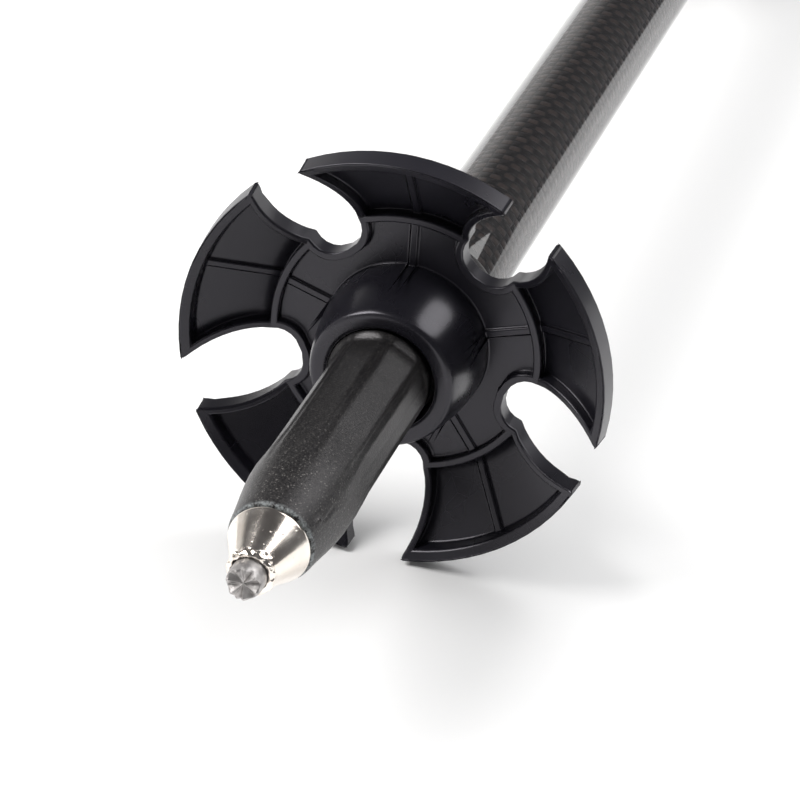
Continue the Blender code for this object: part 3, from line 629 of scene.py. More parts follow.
# ================================================================================ basket
BASKET_R, BASKET_R_BACK = 32.0, 32.4
RIM_DEPTH, RIM_WALL, SLOT_WALL = 4.0, 1.5, 1.15
RING_OUT, RING_IN, RING_S = 20.6, 19.4, 7.85
SLOT_END_R, SLOT_MAX, SLOT_MAX_AT, SLOT_RIM = 4.3, 5.6, 25.3, 3.85
HUB_BORE, HUB_BASE, PETALS = 8.1, 12.3, 5
RIB_HALF, CORNER_R = 0.62, 0.72


def slot_half(r):
    if r <= RING_OUT:
        d = SLOT_END_R ** 2 - (RING_OUT - r) ** 2
        return math.sqrt(d) if d > 1e-9 else 0.0
    (xa, wa), (xb, wb), (xc, wc) = ((RING_OUT, SLOT_END_R + 0.1), (SLOT_MAX_AT, SLOT_MAX),
                                    (BASKET_R, SLOT_RIM))
    d1, d2 = (wb - wa) / (xb - xa), (wc - wb) / (xc - xb)
    return wa + d1 * (r - xa) + (d2 - d1) / (xc - xa) * (r - xa) * (r - xb)


def slot_wall_half(r):
    if r <= RING_OUT:
        d = (SLOT_END_R + SLOT_WALL) ** 2 - (RING_OUT - r) ** 2
        return math.sqrt(d) if d > 1e-9 else 0.0
    return slot_half(r) + SLOT_WALL


def corner_cut(r):
    """How far a petal's corner is rounded back at radius r."""
    t = (r - (BASKET_R - CORNER_R)) / CORNER_R
    return CORNER_R * (1 - math.sqrt(max(1 - t * t, 0.0))) if t > 0 else 0.0


def lip(r):
    if r >= RING_OUT:
        return RING_S * (BASKET_R - r) / (BASKET_R - RING_OUT)
    return RING_S + 0.15 * (RING_OUT - r) / (RING_OUT - HUB_BASE)


def plate(r, outer):
    return lip(r) + (2.3 if outer else 1.35)


def back(r):
    if r > BASKET_R - RIM_WALL - 0.01:
        return RIM_DEPTH + 0.35 * (BASKET_R - r) / RIM_WALL
    if r >= RING_OUT:
        return lip(r) + 3.6
    t = (RING_OUT - r) / (RING_OUT - HUB_BASE)
    return lip(r) + 3.6 - 1.0 * t


def basket_mesh():
    bm = bmesh.new()
    end = RING_OUT - SLOT_END_R                   # innermost point of a slot
    rows = [BASKET_R, BASKET_R - 0.10, BASKET_R - 0.36, BASKET_R - CORNER_R, BASKET_R - RIM_WALL, 29.2, 27.9, 26.6, 25.3, 24.0, 22.8, 21.7, RING_OUT, RING_IN,
            18.4, 17.4, 16.7, end, 15.7, end - SLOT_WALL, 14.2, 13.3, HUB_BASE]
    side = 6                                      # cells between a slot wall and the middle rib
    half = math.pi / PETALS

    def columns(r):
        edge = half - math.asin(min((slot_half(r) + corner_cut(r)) / r, 1.0))
        wall = half - math.asin(min(slot_wall_half(r) / r, 1.0))
        rib = math.asin(RIB_HALF / r)
        left = [-edge] + [-wall + (wall - rib) * k / side for k in range(side + 1)]
        return left + [-c for c in reversed(left)]

    n_r = len(rows)
    grid = [columns(r) for r in rows]
    n_c = len(grid[0])
    mid_cell = side + 1                            # the cell between -rib and +rib

    def height(i, level):
        r = rows[i]
        return {"lip": lip(r), "out": plate(r, True), "in": plate(r, False),
                "rib_out": plate(r, True) - 0.55, "rib_in": plate(r, False) - 0.42}[level]

    def level_of(i, j):
        r = rows[i]
        if r > BASKET_R - RIM_WALL + 0.01 or r == RING_OUT:
            return "lip"
        if (j == 0 or j == n_c - 2) and r > end - SLOT_WALL + 0.01:
            return "lip"
        outer = r > RING_OUT
        if j == mid_cell:
            return "rib_out" if outer else "rib_in"
        return "out" if outer else "in"

    for p in range(PETALS):
        mid = half + 2 * half * p
        cache = {}

        def vert(key, x, r, a):
            if key not in cache:
                cache[key] = bm.verts.new(((BASKET_X + x) * MM, r * math.sin(a) * MM,
                                           -r * math.cos(a) * MM))
            return cache[key]

        def front(i, j, level):
            return vert((i, j, round(height(i, level), 5)), height(i, level), rows[i], mid + grid[i][j])

        def rear(i, j):
            r = rows[i]
            flare = max(r - BASKET_R + RIM_WALL, 0.0) / RIM_WALL * (BASKET_R_BACK - BASKET_R)
            return vert((i, j, "back"), back(r), r + flare, mid + grid[i][j])

        def levels_at(i, j):
            found = set()
            for di in (-1, 0):
                for dj in (-1, 0):
                    if 0 <= i + di < n_r - 1 and 0 <= j + dj < n_c - 1:
                        found.add(level_of(i + di, j + dj))
            return sorted(found, key=lambda lv: height(i, lv))

        def stack(i, j, a, b):
            """Vertices at one grid point from level a to level b, both included."""
            ha, hb = height(i, a), height(i, b)
            lo, hi = min(ha, hb), max(ha, hb)
            keep = [lv for lv in levels_at(i, j) if lo - 1e-6 <= height(i, lv) <= hi + 1e-6]
            out = []
            for lv in keep:
                v = front(i, j, lv)
                if v not in out:
                    out.append(v)
            return out if ha <= hb else out[::-1]

        def wall(i0, j0, i1, j1, a, b):
            loop = stack(i0, j0, a, b) + stack(i1, j1, b, a)
            if len(loop) > 2:
                try:
                    bm.faces.new(loop)
                except ValueError:
                    pass

        for i in range(n_r - 1):
            for j in range(n_c - 1):
                lv = level_of(i, j)
                bm.faces.new((front(i, j, lv), front(i, j + 1, lv),
                              front(i + 1, j + 1, lv), front(i + 1, j, lv)))
                bm.faces.new((rear(i, j), rear(i + 1, j), rear(i + 1, j + 1), rear(i, j + 1)))
        for i in range(n_r - 1):
            for j in range(n_c - 2):
                a, b = level_of(i, j), level_of(i, j + 1)
                if a != b:
                    wall(i, j + 1, i + 1, j + 1, a, b)
        for i in range(n_r - 2):
            for j in range(n_c - 1):
                a, b = level_of(i, j), level_of(i + 1, j)
                if a != b:
                    wall(i + 1, j, i + 1, j + 1, a, b)
        for j in range(n_c - 1):
            bm.faces.new((front(0, j, "lip"), rear(0, j), rear(0, j + 1), front(0, j + 1, "lip")))
        for i in range(n_r - 1):
            if rows[i] > end + 0.01:
                for j in (0, n_c - 1):
                    bm.faces.new((front(i, j, "lip"), rear(i, j), rear(i + 1, j),
                                  front(i + 1, j, "lip")))
        last = n_r - 1
        base = plate(HUB_BASE, False)
        hub = [(base - 0.9, 12.36), (base - 1.7, 12.38), (6.4, 12.35), (5.0, 12.22), (3.6, 12.05),
               (2.2, 11.84), (0.8, 11.6), (-0.4, 11.38), (-1.6, 11.13), (-2.5, 10.9), (-3.05, 10.70),
               (-3.35, 10.45), (-3.48, 10.10), (-3.5, 9.7), (-3.5, 8.75), (-3.44, 8.30), (-3.2, 8.13),
               (-2.7, HUB_BORE), (1.9, HUB_BORE), (2.3, 7.45), (3.7, 7.45), (4.1, HUB_BORE),
               (11.5, HUB_BORE), (11.9, 8.5), (11.9, 10.5), (11.75, 11.0), (11.3, 11.4),
               (back(HUB_BASE) + 0.5, 11.75), (back(HUB_BASE) + 0.1, 12.0)]
        ladder = [None] + hub + [None]
        for k in range(len(ladder) - 1):
            for j in range(n_c - 1):
                quad = []
                for kk, jj in ((k, j), (k, j + 1), (k + 1, j + 1), (k + 1, j)):
                    if kk == 0:
                        top = stack(last, jj, levels_at(last, jj)[0], levels_at(last, jj)[-1])
                        if jj == j:
                            lv = level_of(last - 1, j)
                            here = front(last, jj, lv)
                        else:
                            here = front(last, jj, level_of(last - 1, j))
                        quad.append((here, top))
                    elif kk == len(ladder) - 1:
                        quad.append((rear(last, jj), None))
                    else:
                        x, r = ladder[kk]
                        quad.append((vert((jj, "hub", kk), x, r, mid + grid[last][jj]), None))
                loop = []
                for v, top in quad:
                    if v not in loop:
                        loop.append(v)
                bm.faces.new(loop)
        # close the small side faces where the middle rib runs into the hub
        for jj in (mid_cell, mid_cell + 1):
            top = stack(last, jj, levels_at(last, jj)[0], levels_at(last, jj)[-1])
            if len(top) == 2:
                bm.faces.new((top[0], top[1], cache[(jj, "hub", 1)]))
    return bm


def build_basket():
    bm = basket_mesh()
    obj = piece("basket_moulded", bm, "basket_plastic", "basket", ["basket"], bevel=0.34, segments=3,
                bevel_angle=38.0, angle=33.0, clamp=False)
    return obj


build_basket()

# ================================================================================ carbide insert


def build_carbide():
    """Short rod; its end is a shallow crown whose ridges run out from the centre."""
    n = 64
    ridge_at = [math.radians(a) for a in (-8, 24, 80, 137, 162, 187, 250, 312)]

    def crown(a):
        """0 at a ridge, 1 in the valley between two ridges."""
        best = None
        order = sorted(r % (2 * math.pi) for r in ridge_at)
        a %= 2 * math.pi
        for k, r0 in enumerate(order):
            r1 = order[(k + 1) % len(order)] + (2 * math.pi if k == len(order) - 1 else 0)
            aa = a if a >= order[0] else a + 2 * math.pi
            if r0 <= aa <= r1:
                t = (aa - r0) / (r1 - r0)
                best = 1 - abs(2 * t - 1)
                width = r1 - r0
                return best, width
        return 0.0, 0.5

    bm = bmesh.new()
    specs = [(0.0, -60.35, 0.0), (0.7, -60.5, 0.35), (1.5, -60.78, 0.7), (2.02, -61.0, 0.85),
             (2.30, -60.86, 0.62), (2.41, -60.45, 0.3), (2.40, -60.1, 0.0), (2.46, -59.85, 0.0),
             (2.48, -59.5, 0.0), (2.48, -54.3, 0.0), (2.3, -54.1, 0.0)]
    made = []
    for r, s, depth in specs:
        ring = []
        for i in range(n):
            a = 2 * math.pi * i / n
            c, width = crown(a)
            d = depth * c * min(width / 0.9, 1.15)
            rr = r * (1 - 0.045 * c) if depth else r
            ring.append(bm.verts.new(((BASKET_X + s + d) * MM, rr * math.sin(a) * MM,
                                      rr * math.cos(a) * MM)))
            if r == 0.0:
                break
        made.append(ring)
    for a, b in zip(made, made[1:]):
        for i in range(n):
            j = (i + 1) % n
            if len(a) == 1:
                bm.faces.new((a[0], b[j], b[i]))
            else:
                bm.faces.new((a[i], a[j], b[j], b[i]))
    bm.faces.new(made[-1])
    piece("carbide_crown", bm, "carbide", "lower", ["carbide_tip"], angle=16.0)


build_carbide()

# ================================================================================ ferrule


def build_ferrule():
    pts = soften([(-50.32, 3.45, 0.05), (-50.32, 5.72, 0.10), (-50.75, 5.74, 0.12), (-56.6, 3.20, 0.5),
                  (-57.1, 3.12, 0.3), (-57.35, 3.38, 0.25), (-57.75, 3.34, 0.3), (-58.1, 2.95, 0.2),
                  (-58.1, 2.62, 0.06), (-53.8, 2.56), (-53.5, 3.45)], steps=5)
    bm = lathe(pts, 160, dx=BASKET_X)
    for v in bm.verts:                             # uneven rolled edge with small burrs
        s = v.co.x / MM - BASKET_X
        if s < -56.3:
            r = math.hypot(v.co.y, v.co.z)
            k = smooth01((-56.3 - s) / 0.9)
            d = noise.noise(v.co * 1500.0) * 0.20 + noise.noise(v.co * 4200.0) * 0.09
            lift = 1.0 + k * d * MM / r
            v.co.y *= lift
            v.co.z *= lift
            v.co.x += k * noise.noise(v.co * 1300.0 + Vector((7, 3, 1))) * 0.16 * MM
    piece("ferrule_plated", bm, "nickel", "lower", ["tip_ferrule"], angle=50.0)


build_ferrule()

# ================================================================================ tip body
TIP_R = 7.56


def build_tip_body():
    n = 192
    prof = soften([(-53.2, 2.8, 0.2), (-52.9, 3.1, 0.15), (-50.0, 3.1), (-50.0, 5.82, 0.2),
                   (-49.62, 6.10, 0.35), (-46.0, 6.55, 1.5), (-41.3, 7.28, 3.0), (-37.0, TIP_R, 2.5)],
                  closed=False, steps=5)[:-1]
    prof += [(s, TIP_R) for s in (-35.5, -33, -30, -27, -24, -21, -18, -15, -12, -10, -8.4, -7.2, -6.4,
                                  -5.8, -5.3, -4.9, -4.5, -4.1)]
    prof += [(-3.8, TIP_R), (-3.5, 7.55), (-3.25, 7.50), (-3.1, 7.40), (-3.0, 7.22), (-2.95, 6.98), (-0.7, 6.98),
             (-0.3, TIP_R), (1.5, TIP_R), (1.6, 7.1), (4.4, 7.1), (4.5, TIP_R), (12.4, TIP_R),
             (12.4, 9.25), (12.5, 9.45), (12.8, 9.6), (23.0, 9.6), (23.5, 9.55), (23.9, 9.35),
             (24.0, 9.15), (24.0, 8.3), (13.5, 8.3), (13.5, 6.5), (39.5, 6.5), (40.3, 5.9)]

    def depth(s):
        return 0.46 * smooth01((s + 41.0) / 12.0) * (1 - smooth01((s + 4.9) / 1.3))

    seam_pts = [(-60, -60.0), (-52, -61.0), (-47, -67.0), (-41, -71.5), (-36, -72.0), (-25, -75.0),
                (-10, -78.0), (0, -79.0)]

    def seam(s):
        for (s0, a0), (s1, a1) in zip(seam_pts, seam_pts[1:]):
            if s0 <= s <= s1:
                return a0 + (a1 - a0) * (s - s0) / (s1 - s0)
        return seam_pts[-1][1]

    ring_list = []
    for s, r in prof:
        ring = []
        for i in range(n):
            a = 2 * math.pi * i / n - math.radians(31.0)
            near = (math.degrees(a) + 31.0 + 22.5) % 45.0 - 22.5
            rr = r
            if -45 < s < -3.5:
                d = depth(s)
                flat = (r - d) / math.cos(math.radians(near))
                edge = abs(near)
                groove = 0.26 * d / 0.46 * math.exp(-((edge - 22.5) / 4.2) ** 2)
                rr = min(r, flat) - groove
            if -6.0 < s < -2.9:                     # the bead by the hub sits to one side
                rr += 0.42 * math.cos(a - math.radians(40.0)) * smooth01((s + 5.2) / 1.7)
            if -49.7 < s < -5.0 or 12.5 < s < 23.9:
                for side in (0.0, 180.0):
                    dd = (math.degrees(a) - seam(s) - side + 180.0) % 360.0 - 180.0
                    mm_off = math.radians(dd) * r
                    rr += 0.05 * math.exp(-(mm_off / 0.16) ** 2)
            # scuff and flash by the ferrule, along the parting line
            if -49.5 < s < -42.5:
                dd = (math.degrees(a) - seam(s) - 6.0 + 180.0) % 360.0 - 180.0
                mm_off = math.radians(dd) * r
                k = math.exp(-(mm_off / 0.75) ** 2) * smooth01((s + 49.6) / 1.2) * smooth01((-42.6 - s) / 2.0)
                q = Vector((s * 1.1, math.sin(a) * r * 1.4, math.cos(a) * r * 1.4))
                rr += k * (0.34 * noise.noise(q) + 0.16 * noise.noise(q * 2.7))
            ring.append((BASKET_X + s, rr * math.sin(a), rr * math.cos(a)))
        ring_list.append(ring)
    # fine rows near the ferrule so that the scuff and the taper are smooth
    piece("tip_body_moulded", rings(ring_list), "tip_plastic", "lower", ["tip_body"], angle=30.0)


build_tip_body()

# ================================================================================ tubes
SHAFT_R, SHAFT_BORE, UPPER_R, UPPER_BORE = 8.0, 6.8, 9.0, 8.2
LOWER_END, UPPER_START, UPPER_END = -285.0, -747.0, -30.0


def tube(name, x0, x1, bore, r, slot, body, nodes, mat):
    pts = [(x0, bore), (x0, r - 0.3), (x0 + 0.09, r - 0.09), (x0 + 0.3, r)]
    k = 24
    pts += [(x0 + 0.3 + (x1 - x0 - 0.6) * i / k, r) for i in range(1, k)]
    pts += [(x1 - 0.3, r), (x1 - 0.09, r - 0.09), (x1, r - 0.3), (x1, bore)]
    piece(name, lathe(pts, 128), slot, body, nodes, mat=mat, angle=50.0)


tube("lower_tube_woven", BASKET_X + 13.8, LOWER_END, SHAFT_BORE, SHAFT_R, "carbon", "lower",
     ["lower_shaft"], "carbon")
tube("upper_tube_woven", UPPER_START, UPPER_END, UPPER_BORE, UPPER_R, "carbon", "upper",
     ["upper_shaft"], "carbon_upper")

for name, slot in (("lower_shaft_plug", "plug_plastic"), ("guide_bushing", "bushing_plastic"),
                   ("strap_pin", "steel")):
    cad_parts[name].data.materials.clear()
    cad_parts[name].data.materials.append(M[slot])

# ================================================================================ clamp
CLAMP_X0, CLAMP_X1, CLAMP_MID = -760.0, -730.0, -745.0
PIN_Y, PIN_Z = -15.0, 15.5


def bar(outline, x0, x1, inset):
    """Extrudes an outline along X with its two end rims eased by a small chamfer."""
    n = len(outline)
    area2 = sum(outline[i][0] * outline[(i + 1) % n][1] - outline[(i + 1) % n][0] * outline[i][1]
                for i in range(n))
    sign = 1.0 if area2 > 0 else -1.0

    def moved(d):
        out = []
        for i in range(n):
            ay, az = outline[i - 1]
            by, bz = outline[i]
            cy, cz = outline[(i + 1) % n]
            l1, l2 = math.hypot(by - ay, bz - az), math.hypot(cy - by, cz - bz)
            n1 = (-(bz - az) / l1, (by - ay) / l1)
            n2 = (-(cz - bz) / l2, (cy - by) / l2)
            k = 1.0 + n1[0] * n2[0] + n1[1] * n2[1]
            mx, mz = (n1[0] + n2[0]) / max(k, 0.35), (n1[1] + n2[1]) / max(k, 0.35)
            out.append((by + sign * d * mx, bz + sign * d * mz))
        return out

    steps = [(0.0, inset), (inset * 0.3, inset * 0.3), (inset, 0.0)]
    ring_list = [[(x0 + dx, y, z) for y, z in moved(d)] for dx, d in steps]
    ring_list += [[(x1 - dx, y, z) for y, z in moved(d)] for dx, d in reversed(steps)]
    return rings(ring_list)


def build_clamp():
    # collar of the bushing at the tube's mouth, with the sleeve that goes inside the band
    prof = soften([(CLAMP_X0 - 3.3, 8.15, 0.15), (CLAMP_X0 - 3.3, 10.95, 0.8), (CLAMP_X0 - 0.3, 11.0, 0.3),
                   (CLAMP_X0 - 0.3, 9.0), (UPPER_START - 0.3, 9.0), (UPPER_START - 0.3, 8.15)], steps=5)
    bush = piece("clamp_mouth_bushing", lathe(prof, 96), "bushing_plastic", "upper", ["clamp_bushing"],
                 mat="clamp_plastic", angle=40.0)
    carve(bush, prism_x([(-13, -0.8), (-5, -0.8), (-5, 0.8), (-13, 0.8)], CLAMP_X0 - 6, UPPER_START + 3))

    slit = 2.0
    a_out = math.degrees(math.asin(6.6 / 11.6))
    a_in = math.degrees(math.asin(slit / 9.3))
    outer = arc(0, 0, 11.6, 180 - a_out, -180 + a_out, 72)
    ears = soften([outer[-1] + (0.0,), (-19.8, -6.6, 0.0), (-20.4, -6.0, 0.0), (-20.4, -slit - 0.3, 0.2),
                   (-20.1, -slit, 0.0)], closed=False)
    inner = arc(0, 0, 9.3, -180 + a_in, 180 - a_in, 72)
    ears2 = [(-20.1, slit), (-20.4, slit + 0.3), (-20.4, 6.0), (-19.8, 6.6)]
    outline = outer + ears[1:] + inner + ears2
    band = piece("clamp_band_moulded", bar(outline, CLAMP_X0, CLAMP_X1, 0.45), "clamp_plastic", "upper",
                 ["clamp_band"], angle=30.0)
    hole = lathe_z(CLAMP_MID, PIN_Y, [(-9, 2.3), (9, 2.3)], 48, closed=False)
    tools = [hole]
    for x in (CLAMP_X0 + 5.2, CLAMP_X0 + 7.2, CLAMP_X1 - 5.2, CLAMP_X1 - 7.2):   # shallow grooves round it
        tools.append(lathe([(x - 0.4, 11.25), (x - 0.4, 12.6), (x + 0.4, 12.6), (x + 0.4, 11.25)], 96))
    carve(band, *tools)

    saddle_r = 6.6
    sa = math.degrees(math.asin(3.2 / saddle_r))
    saddle = piece("cam_saddle_plate", bar([(PIN_Y - 3.2, 6.9), (PIN_Y + 3.2, 6.9)]
                   + arc(PIN_Y, PIN_Z, saddle_r, -90 + sa, -90 - sa, 20), CLAMP_MID - 10, CLAMP_MID + 10,
                   0.12), "steel", "upper", ["cam_saddle"], angle=30.0)
    carve(saddle, lathe_z(CLAMP_MID, PIN_Y, [(3, 2.3), (12, 2.3)], 48, closed=False))

    nut = lathe(soften([(CLAMP_MID - 10, 0), (CLAMP_MID - 10, 3.6, 0.4), (CLAMP_MID + 10, 3.6, 0.4),
                        (CLAMP_MID + 10, 0)], closed=False), 64, closed=False)
    for v in nut.verts:
        v.co.y += PIN_Y * MM
        v.co.z += PIN_Z * MM
    nut = piece("lever_barrel_nut_turned", nut, "steel", "upper", ["lever_barrel_nut"], angle=40.0)
    carve(nut, lathe_z(CLAMP_MID, PIN_Y, [(8, 2.05), (23, 2.05)], 48, closed=False))

    thread = [(-11.6, 2.6), (-11.35, 3.2), (-9.0, 3.2), (-8.9, 1.9)]
    z = -4.0
    while z < PIN_Z + 1.9:                                     # rolled thread, as turned ridges
        thread += [(z, 1.72), (z + 0.17, 1.90), (z + 0.33, 1.90), (z + 0.5, 1.72)]
        z += 0.62
    thread += [(PIN_Z + 2.2, 1.85), (PIN_Z + 2.8, 1.4)]
    screw = piece("tension_screw_threaded", lathe_z(CLAMP_MID, PIN_Y, thread, 40, closed=False), "steel",
                  "screw", ["tension_screw"], angle=28.0)
    hexa = [[(CLAMP_MID + 1.45 * math.cos(math.radians(60 * i)), PIN_Y + 1.45 * math.sin(math.radians(60 * i)),
              z) for i in range(6)] for z in (-12.0, -10.2)]
    carve(screw, rings(hexa))
    piece("screw_washer_flat", lathe_z(CLAMP_MID, PIN_Y, soften([(-7.9, 2.3, 0.1), (-7.9, 4.6, 0.2),
          (-6.9, 4.6, 0.2), (-6.9, 2.3, 0.1)]), 64), "steel", "upper", ["screw_washer"], angle=40.0)

    def wheel_ring(z, r, depth, n=144):
        out = []
        for i in range(n):
            a = 2 * math.pi * i / n
            lobe = (0.5 - 0.5 * math.cos(12 * a)) ** 1.8
            rr = r - depth * lobe
            out.append((CLAMP_MID + rr * math.cos(a), PIN_Y + rr * math.sin(a), z))
        return out

    wheel = [(-12.6, 3.5, 0), (-8.3, 3.5, 0), (-8.3, 5.3, 0.3), (-8.42, 5.75, 0.5), (-8.8, 6.12, 0.75),
             (-9.2, 6.2, 0.8), (-11.7, 6.2, 0.8), (-12.1, 6.12, 0.75), (-12.48, 5.75, 0.5),
             (-12.6, 5.3, 0.3), (-12.6, 4.7, 0), (-12.35, 4.5, 0), (-12.35, 3.9, 0), (-12.6, 3.7, 0)]
    piece("thumb_wheel_scalloped", rings([wheel_ring(*w) for w in wheel], loop=True), "clamp_plastic",
          "screw", ["thumb_wheel"], angle=35.0)

    # lever: boss, arm over the band, thumb lip with grip ribs
    r_in, r_out = 12.2, 15.2
    out = arc(PIN_Y, PIN_Z, 6.3, 305, 55, 40)
    out += soften([out[-1], (-8.2, 18.8, 1.2), (-5.0, 17.2, 1.5), (-2.0, 16.0, 1.5), (0.0, r_out)],
                  closed=False)[1:-1]
    top = arc(0, 0, r_out, 90, 12, 30)
    ribs = []
    for k in range(5):                                          # ribs for the thumb
        a0 = 10.0 - 5.6 * k
        for a, r in ((a0, r_out - 0.35), (a0 - 0.7, r_out - 0.05), (a0 - 1.6, r_out), (a0 - 2.6, r_out - 0.05),
                     (a0 - 3.3, r_out - 0.35), (a0 - 4.4, r_out - 0.35)):
            ribs.append((r * math.cos(math.radians(a)), r * math.sin(math.radians(a))))
    out += top + ribs
    out += soften([ribs[-1], (14.1, -7.4, 0.5), (12.6, -8.0, 0.6), (11.6, -6.9, 0.5),
                   (r_in * math.cos(math.radians(-22)), r_in * math.sin(math.radians(-22)))],
                  closed=False)[1:-1]
    out += arc(0, 0, r_in, -22, 116, 48)
    out += [(-8.3, 10.9)]
    clean = []
    for p in out:
        if not clean or math.hypot(p[0] - clean[-1][0], p[1] - clean[-1][1]) > 0.08:
            clean.append(p)
    lever = piece("clamp_lever_forged", bar(clean[::-1], CLAMP_MID - 11, CLAMP_MID + 11, 0.5),
                  "lever_alloy", "lever", ["clamp_lever"], angle=30.0)
    pin = lathe([(CLAMP_MID - 12, 0), (CLAMP_MID - 12, 3.75), (CLAMP_MID + 12, 3.75), (CLAMP_MID + 12, 0)],
                64, closed=False)
    for v in pin.verts:
        v.co.y += PIN_Y * MM
        v.co.z += PIN_Z * MM
    sweep = [(PIN_Y + 1.2, PIN_Z)] + arc(PIN_Y, PIN_Z, 9.0, 305, 118, 28)
    slot_tool = prism_x(sweep[::-1], CLAMP_MID - 2.7, CLAMP_MID + 2.7)
    carve(lever, pin, slot_tool)


build_clamp()

# ================================================================================ foam and rings


def build_foam():
    end = soften([(-306.0, 9.3, 0.15), (-306.0, 11.7, 0.5), (-304.6, 12.6, 1.2), (-301.4, 13.8, 0.7),
                  (-300.3, 13.8, 0.3), (-300.3, 9.3, 0.15)], steps=5)
    piece("foam_end_collar", lathe(end, 96), "grip_plastic", "upper", ["foam_end_ring"], angle=40.0)
    prof = [(-300.0, 9.3), (-300.0, 12.9), (-299.9, 13.4), (-299.5, 13.9), (-298.8, 14.25), (-297.8, 14.45)]
    x = -296.0
    while x < -143.5:
        near = min(abs(x - (-280.0 + 40.0 * k)) for k in range(4))
        prof.append((x, 14.5 - 0.95 * math.exp(-(near / 1.5) ** 2)))
        x += 0.5 if near < 5.5 else 1.4
    prof += [(-142.3, 14.45), (-141.2, 14.25), (-140.6, 13.9), (-140.3, 13.4), (-140.3, 9.3)]
    bm = lathe(prof, 144)
    for v in bm.verts:                                          # soft, slightly uneven skin
        r = math.hypot(v.co.y, v.co.z)
        if r > 0.0125:
            d = noise.noise(v.co * 90.0) * 0.10 + noise.noise(v.co * 420.0) * 0.035 - 0.09
            v.co.y *= 1 + d * MM / r
            v.co.z *= 1 + d * MM / r
    foam = piece("foam_grip_sleeve", bm, "foam", "upper", ["foam_sleeve"], angle=45.0)
    ring = soften([(-140.0, 9.3, 0.1), (-140.0, 14.6, 0.4), (-139.3, 15.1, 0.5), (-138.6, 15.1, 0.1),
                   (-138.4, 14.75, 0.1), (-138.1, 14.75, 0.1), (-137.9, 15.1, 0.1), (-137.0, 15.1, 0.4),
                   (-136.3, 14.6, 0.3), (-136.3, 9.3, 0.1)], steps=4)
    piece("foam_trim_ring", lathe(ring, 128), "trim", "upper", ["foam_top_ring"], angle=40.0)


build_foam()

# ================================================================================ grip


def section(x, front, rear, wide, power, sides=24, offset=0.5):
    out = []
    for i in range(sides):
        a = 2 * math.pi * (i + offset) / sides
        c, s = math.cos(a), math.sin(a)
        e = 2.0 / power
        y = math.copysign(abs(c) ** e, c)
        z = math.copysign(abs(s) ** e, s)
        out.append((x, y * (rear if y > 0 else front), z * wide))
    return out


def round_section(x, r, sides=24, offset=0.5):
    return [(x, r * math.cos(2 * math.pi * (i + offset) / sides),
             r * math.sin(2 * math.pi * (i + offset) / sides)) for i in range(sides)]


def grip_sizes(x):
    """(front, rear, wide, power) of the rubber at x."""
    if x <= -131.0:
        t = smooth01((x + 136.0) / 5.0)
        return 15.2 - 0.45 * t, 16.2 - 0.6 * t, 14.5 - 0.6 * t, 2.2 + 0.1 * t
    if x >= -47.0:
        t = smooth01((x + 47.0) / 8.6)
        return 13.0 + 0.4 * t, 15.2 + 1.4 * t, 13.7 + 0.2 * t, 2.3 + 0.2 * t
    t = (x + 131.0) / 84.0
    wave = 0.75 * math.cos(2 * math.pi * (x + 131.0) / 21.0)
    swell = math.sin(math.pi * t)
    return (14.0 - 1.0 * t + wave, 15.6 + 1.3 * swell - 0.4 * t, 13.9 + 0.5 * swell - 0.2 * t, 2.3)


def build_grip():
    n = 160
    ring_list = [round_section(-136.0, 10.9, n)]
    for dx, k in ((0.0, 0.93), (0.12, 0.965), (0.45, 0.985), (1.0, 1.0)):
        f, r, w, p = grip_sizes(-136.0 + dx)
        ring_list.append(section(-136.0 + dx, f * k, r * k, w * k, p, n))
    xs = [-134.6 + 0.7 * i for i in range(138)]
    for x in xs:
        f, r, w, p = grip_sizes(x)
        raw = section(x, f, r, w, p, n)
        fade = smooth01((x + 131.5) / 4.0) * smooth01((-43.0 - x) / 4.0)
        ring = []
        for i, (px, py, pz) in enumerate(raw):
            rad = math.hypot(py, pz)
            ang = math.atan2(pz, py)                            # 0 at the rear, towards the palm
            rise = 0.0
            if fade > 0:
                palm = smooth01((math.radians(62) - abs(ang)) / math.radians(14))
                v = (px + 6.0 * abs(ang) * 0.9) / 4.2           # chevrons over the palm side
                tri = abs(v - math.floor(v) - 0.5) * 2
                rise += palm * 0.34 * smooth01((tri - 0.38) / 0.24)
                front = smooth01((abs(ang) - math.radians(112)) / math.radians(12))
                q = (px + 131.0) / 2.6                          # small bars under the fingers
                bar_h = smooth01((abs(q - math.floor(q) - 0.5) * 2 - 0.42) / 0.3)
                cell = abs(ang) * 14.0 / 3.4
                dot = smooth01((abs(cell - math.floor(cell) - 0.5) * 2 - 0.3) / 0.3)
                rise += front * 0.26 * bar_h * dot
            k = 1 + (rise * fade - 0.12) / rad
            ring.append((px, py * k, pz * k))
        ring_list.append(ring)
    for dx, k in ((1.0, 1.0), (0.45, 0.985), (0.12, 0.965), (0.0, 0.93)):
        f, r, w, p = grip_sizes(-37.3 - dx)
        ring_list.append(section(-37.3 - dx, f * k, r * k, w * k, p, n))
    ring_list.append(round_section(-37.3, 10.9, n))
    piece("grip_rubber_sleeve", rings(ring_list, loop=True), "grip_rubber", "upper", ["grip_rubber"],
          angle=60.0)


build_grip()


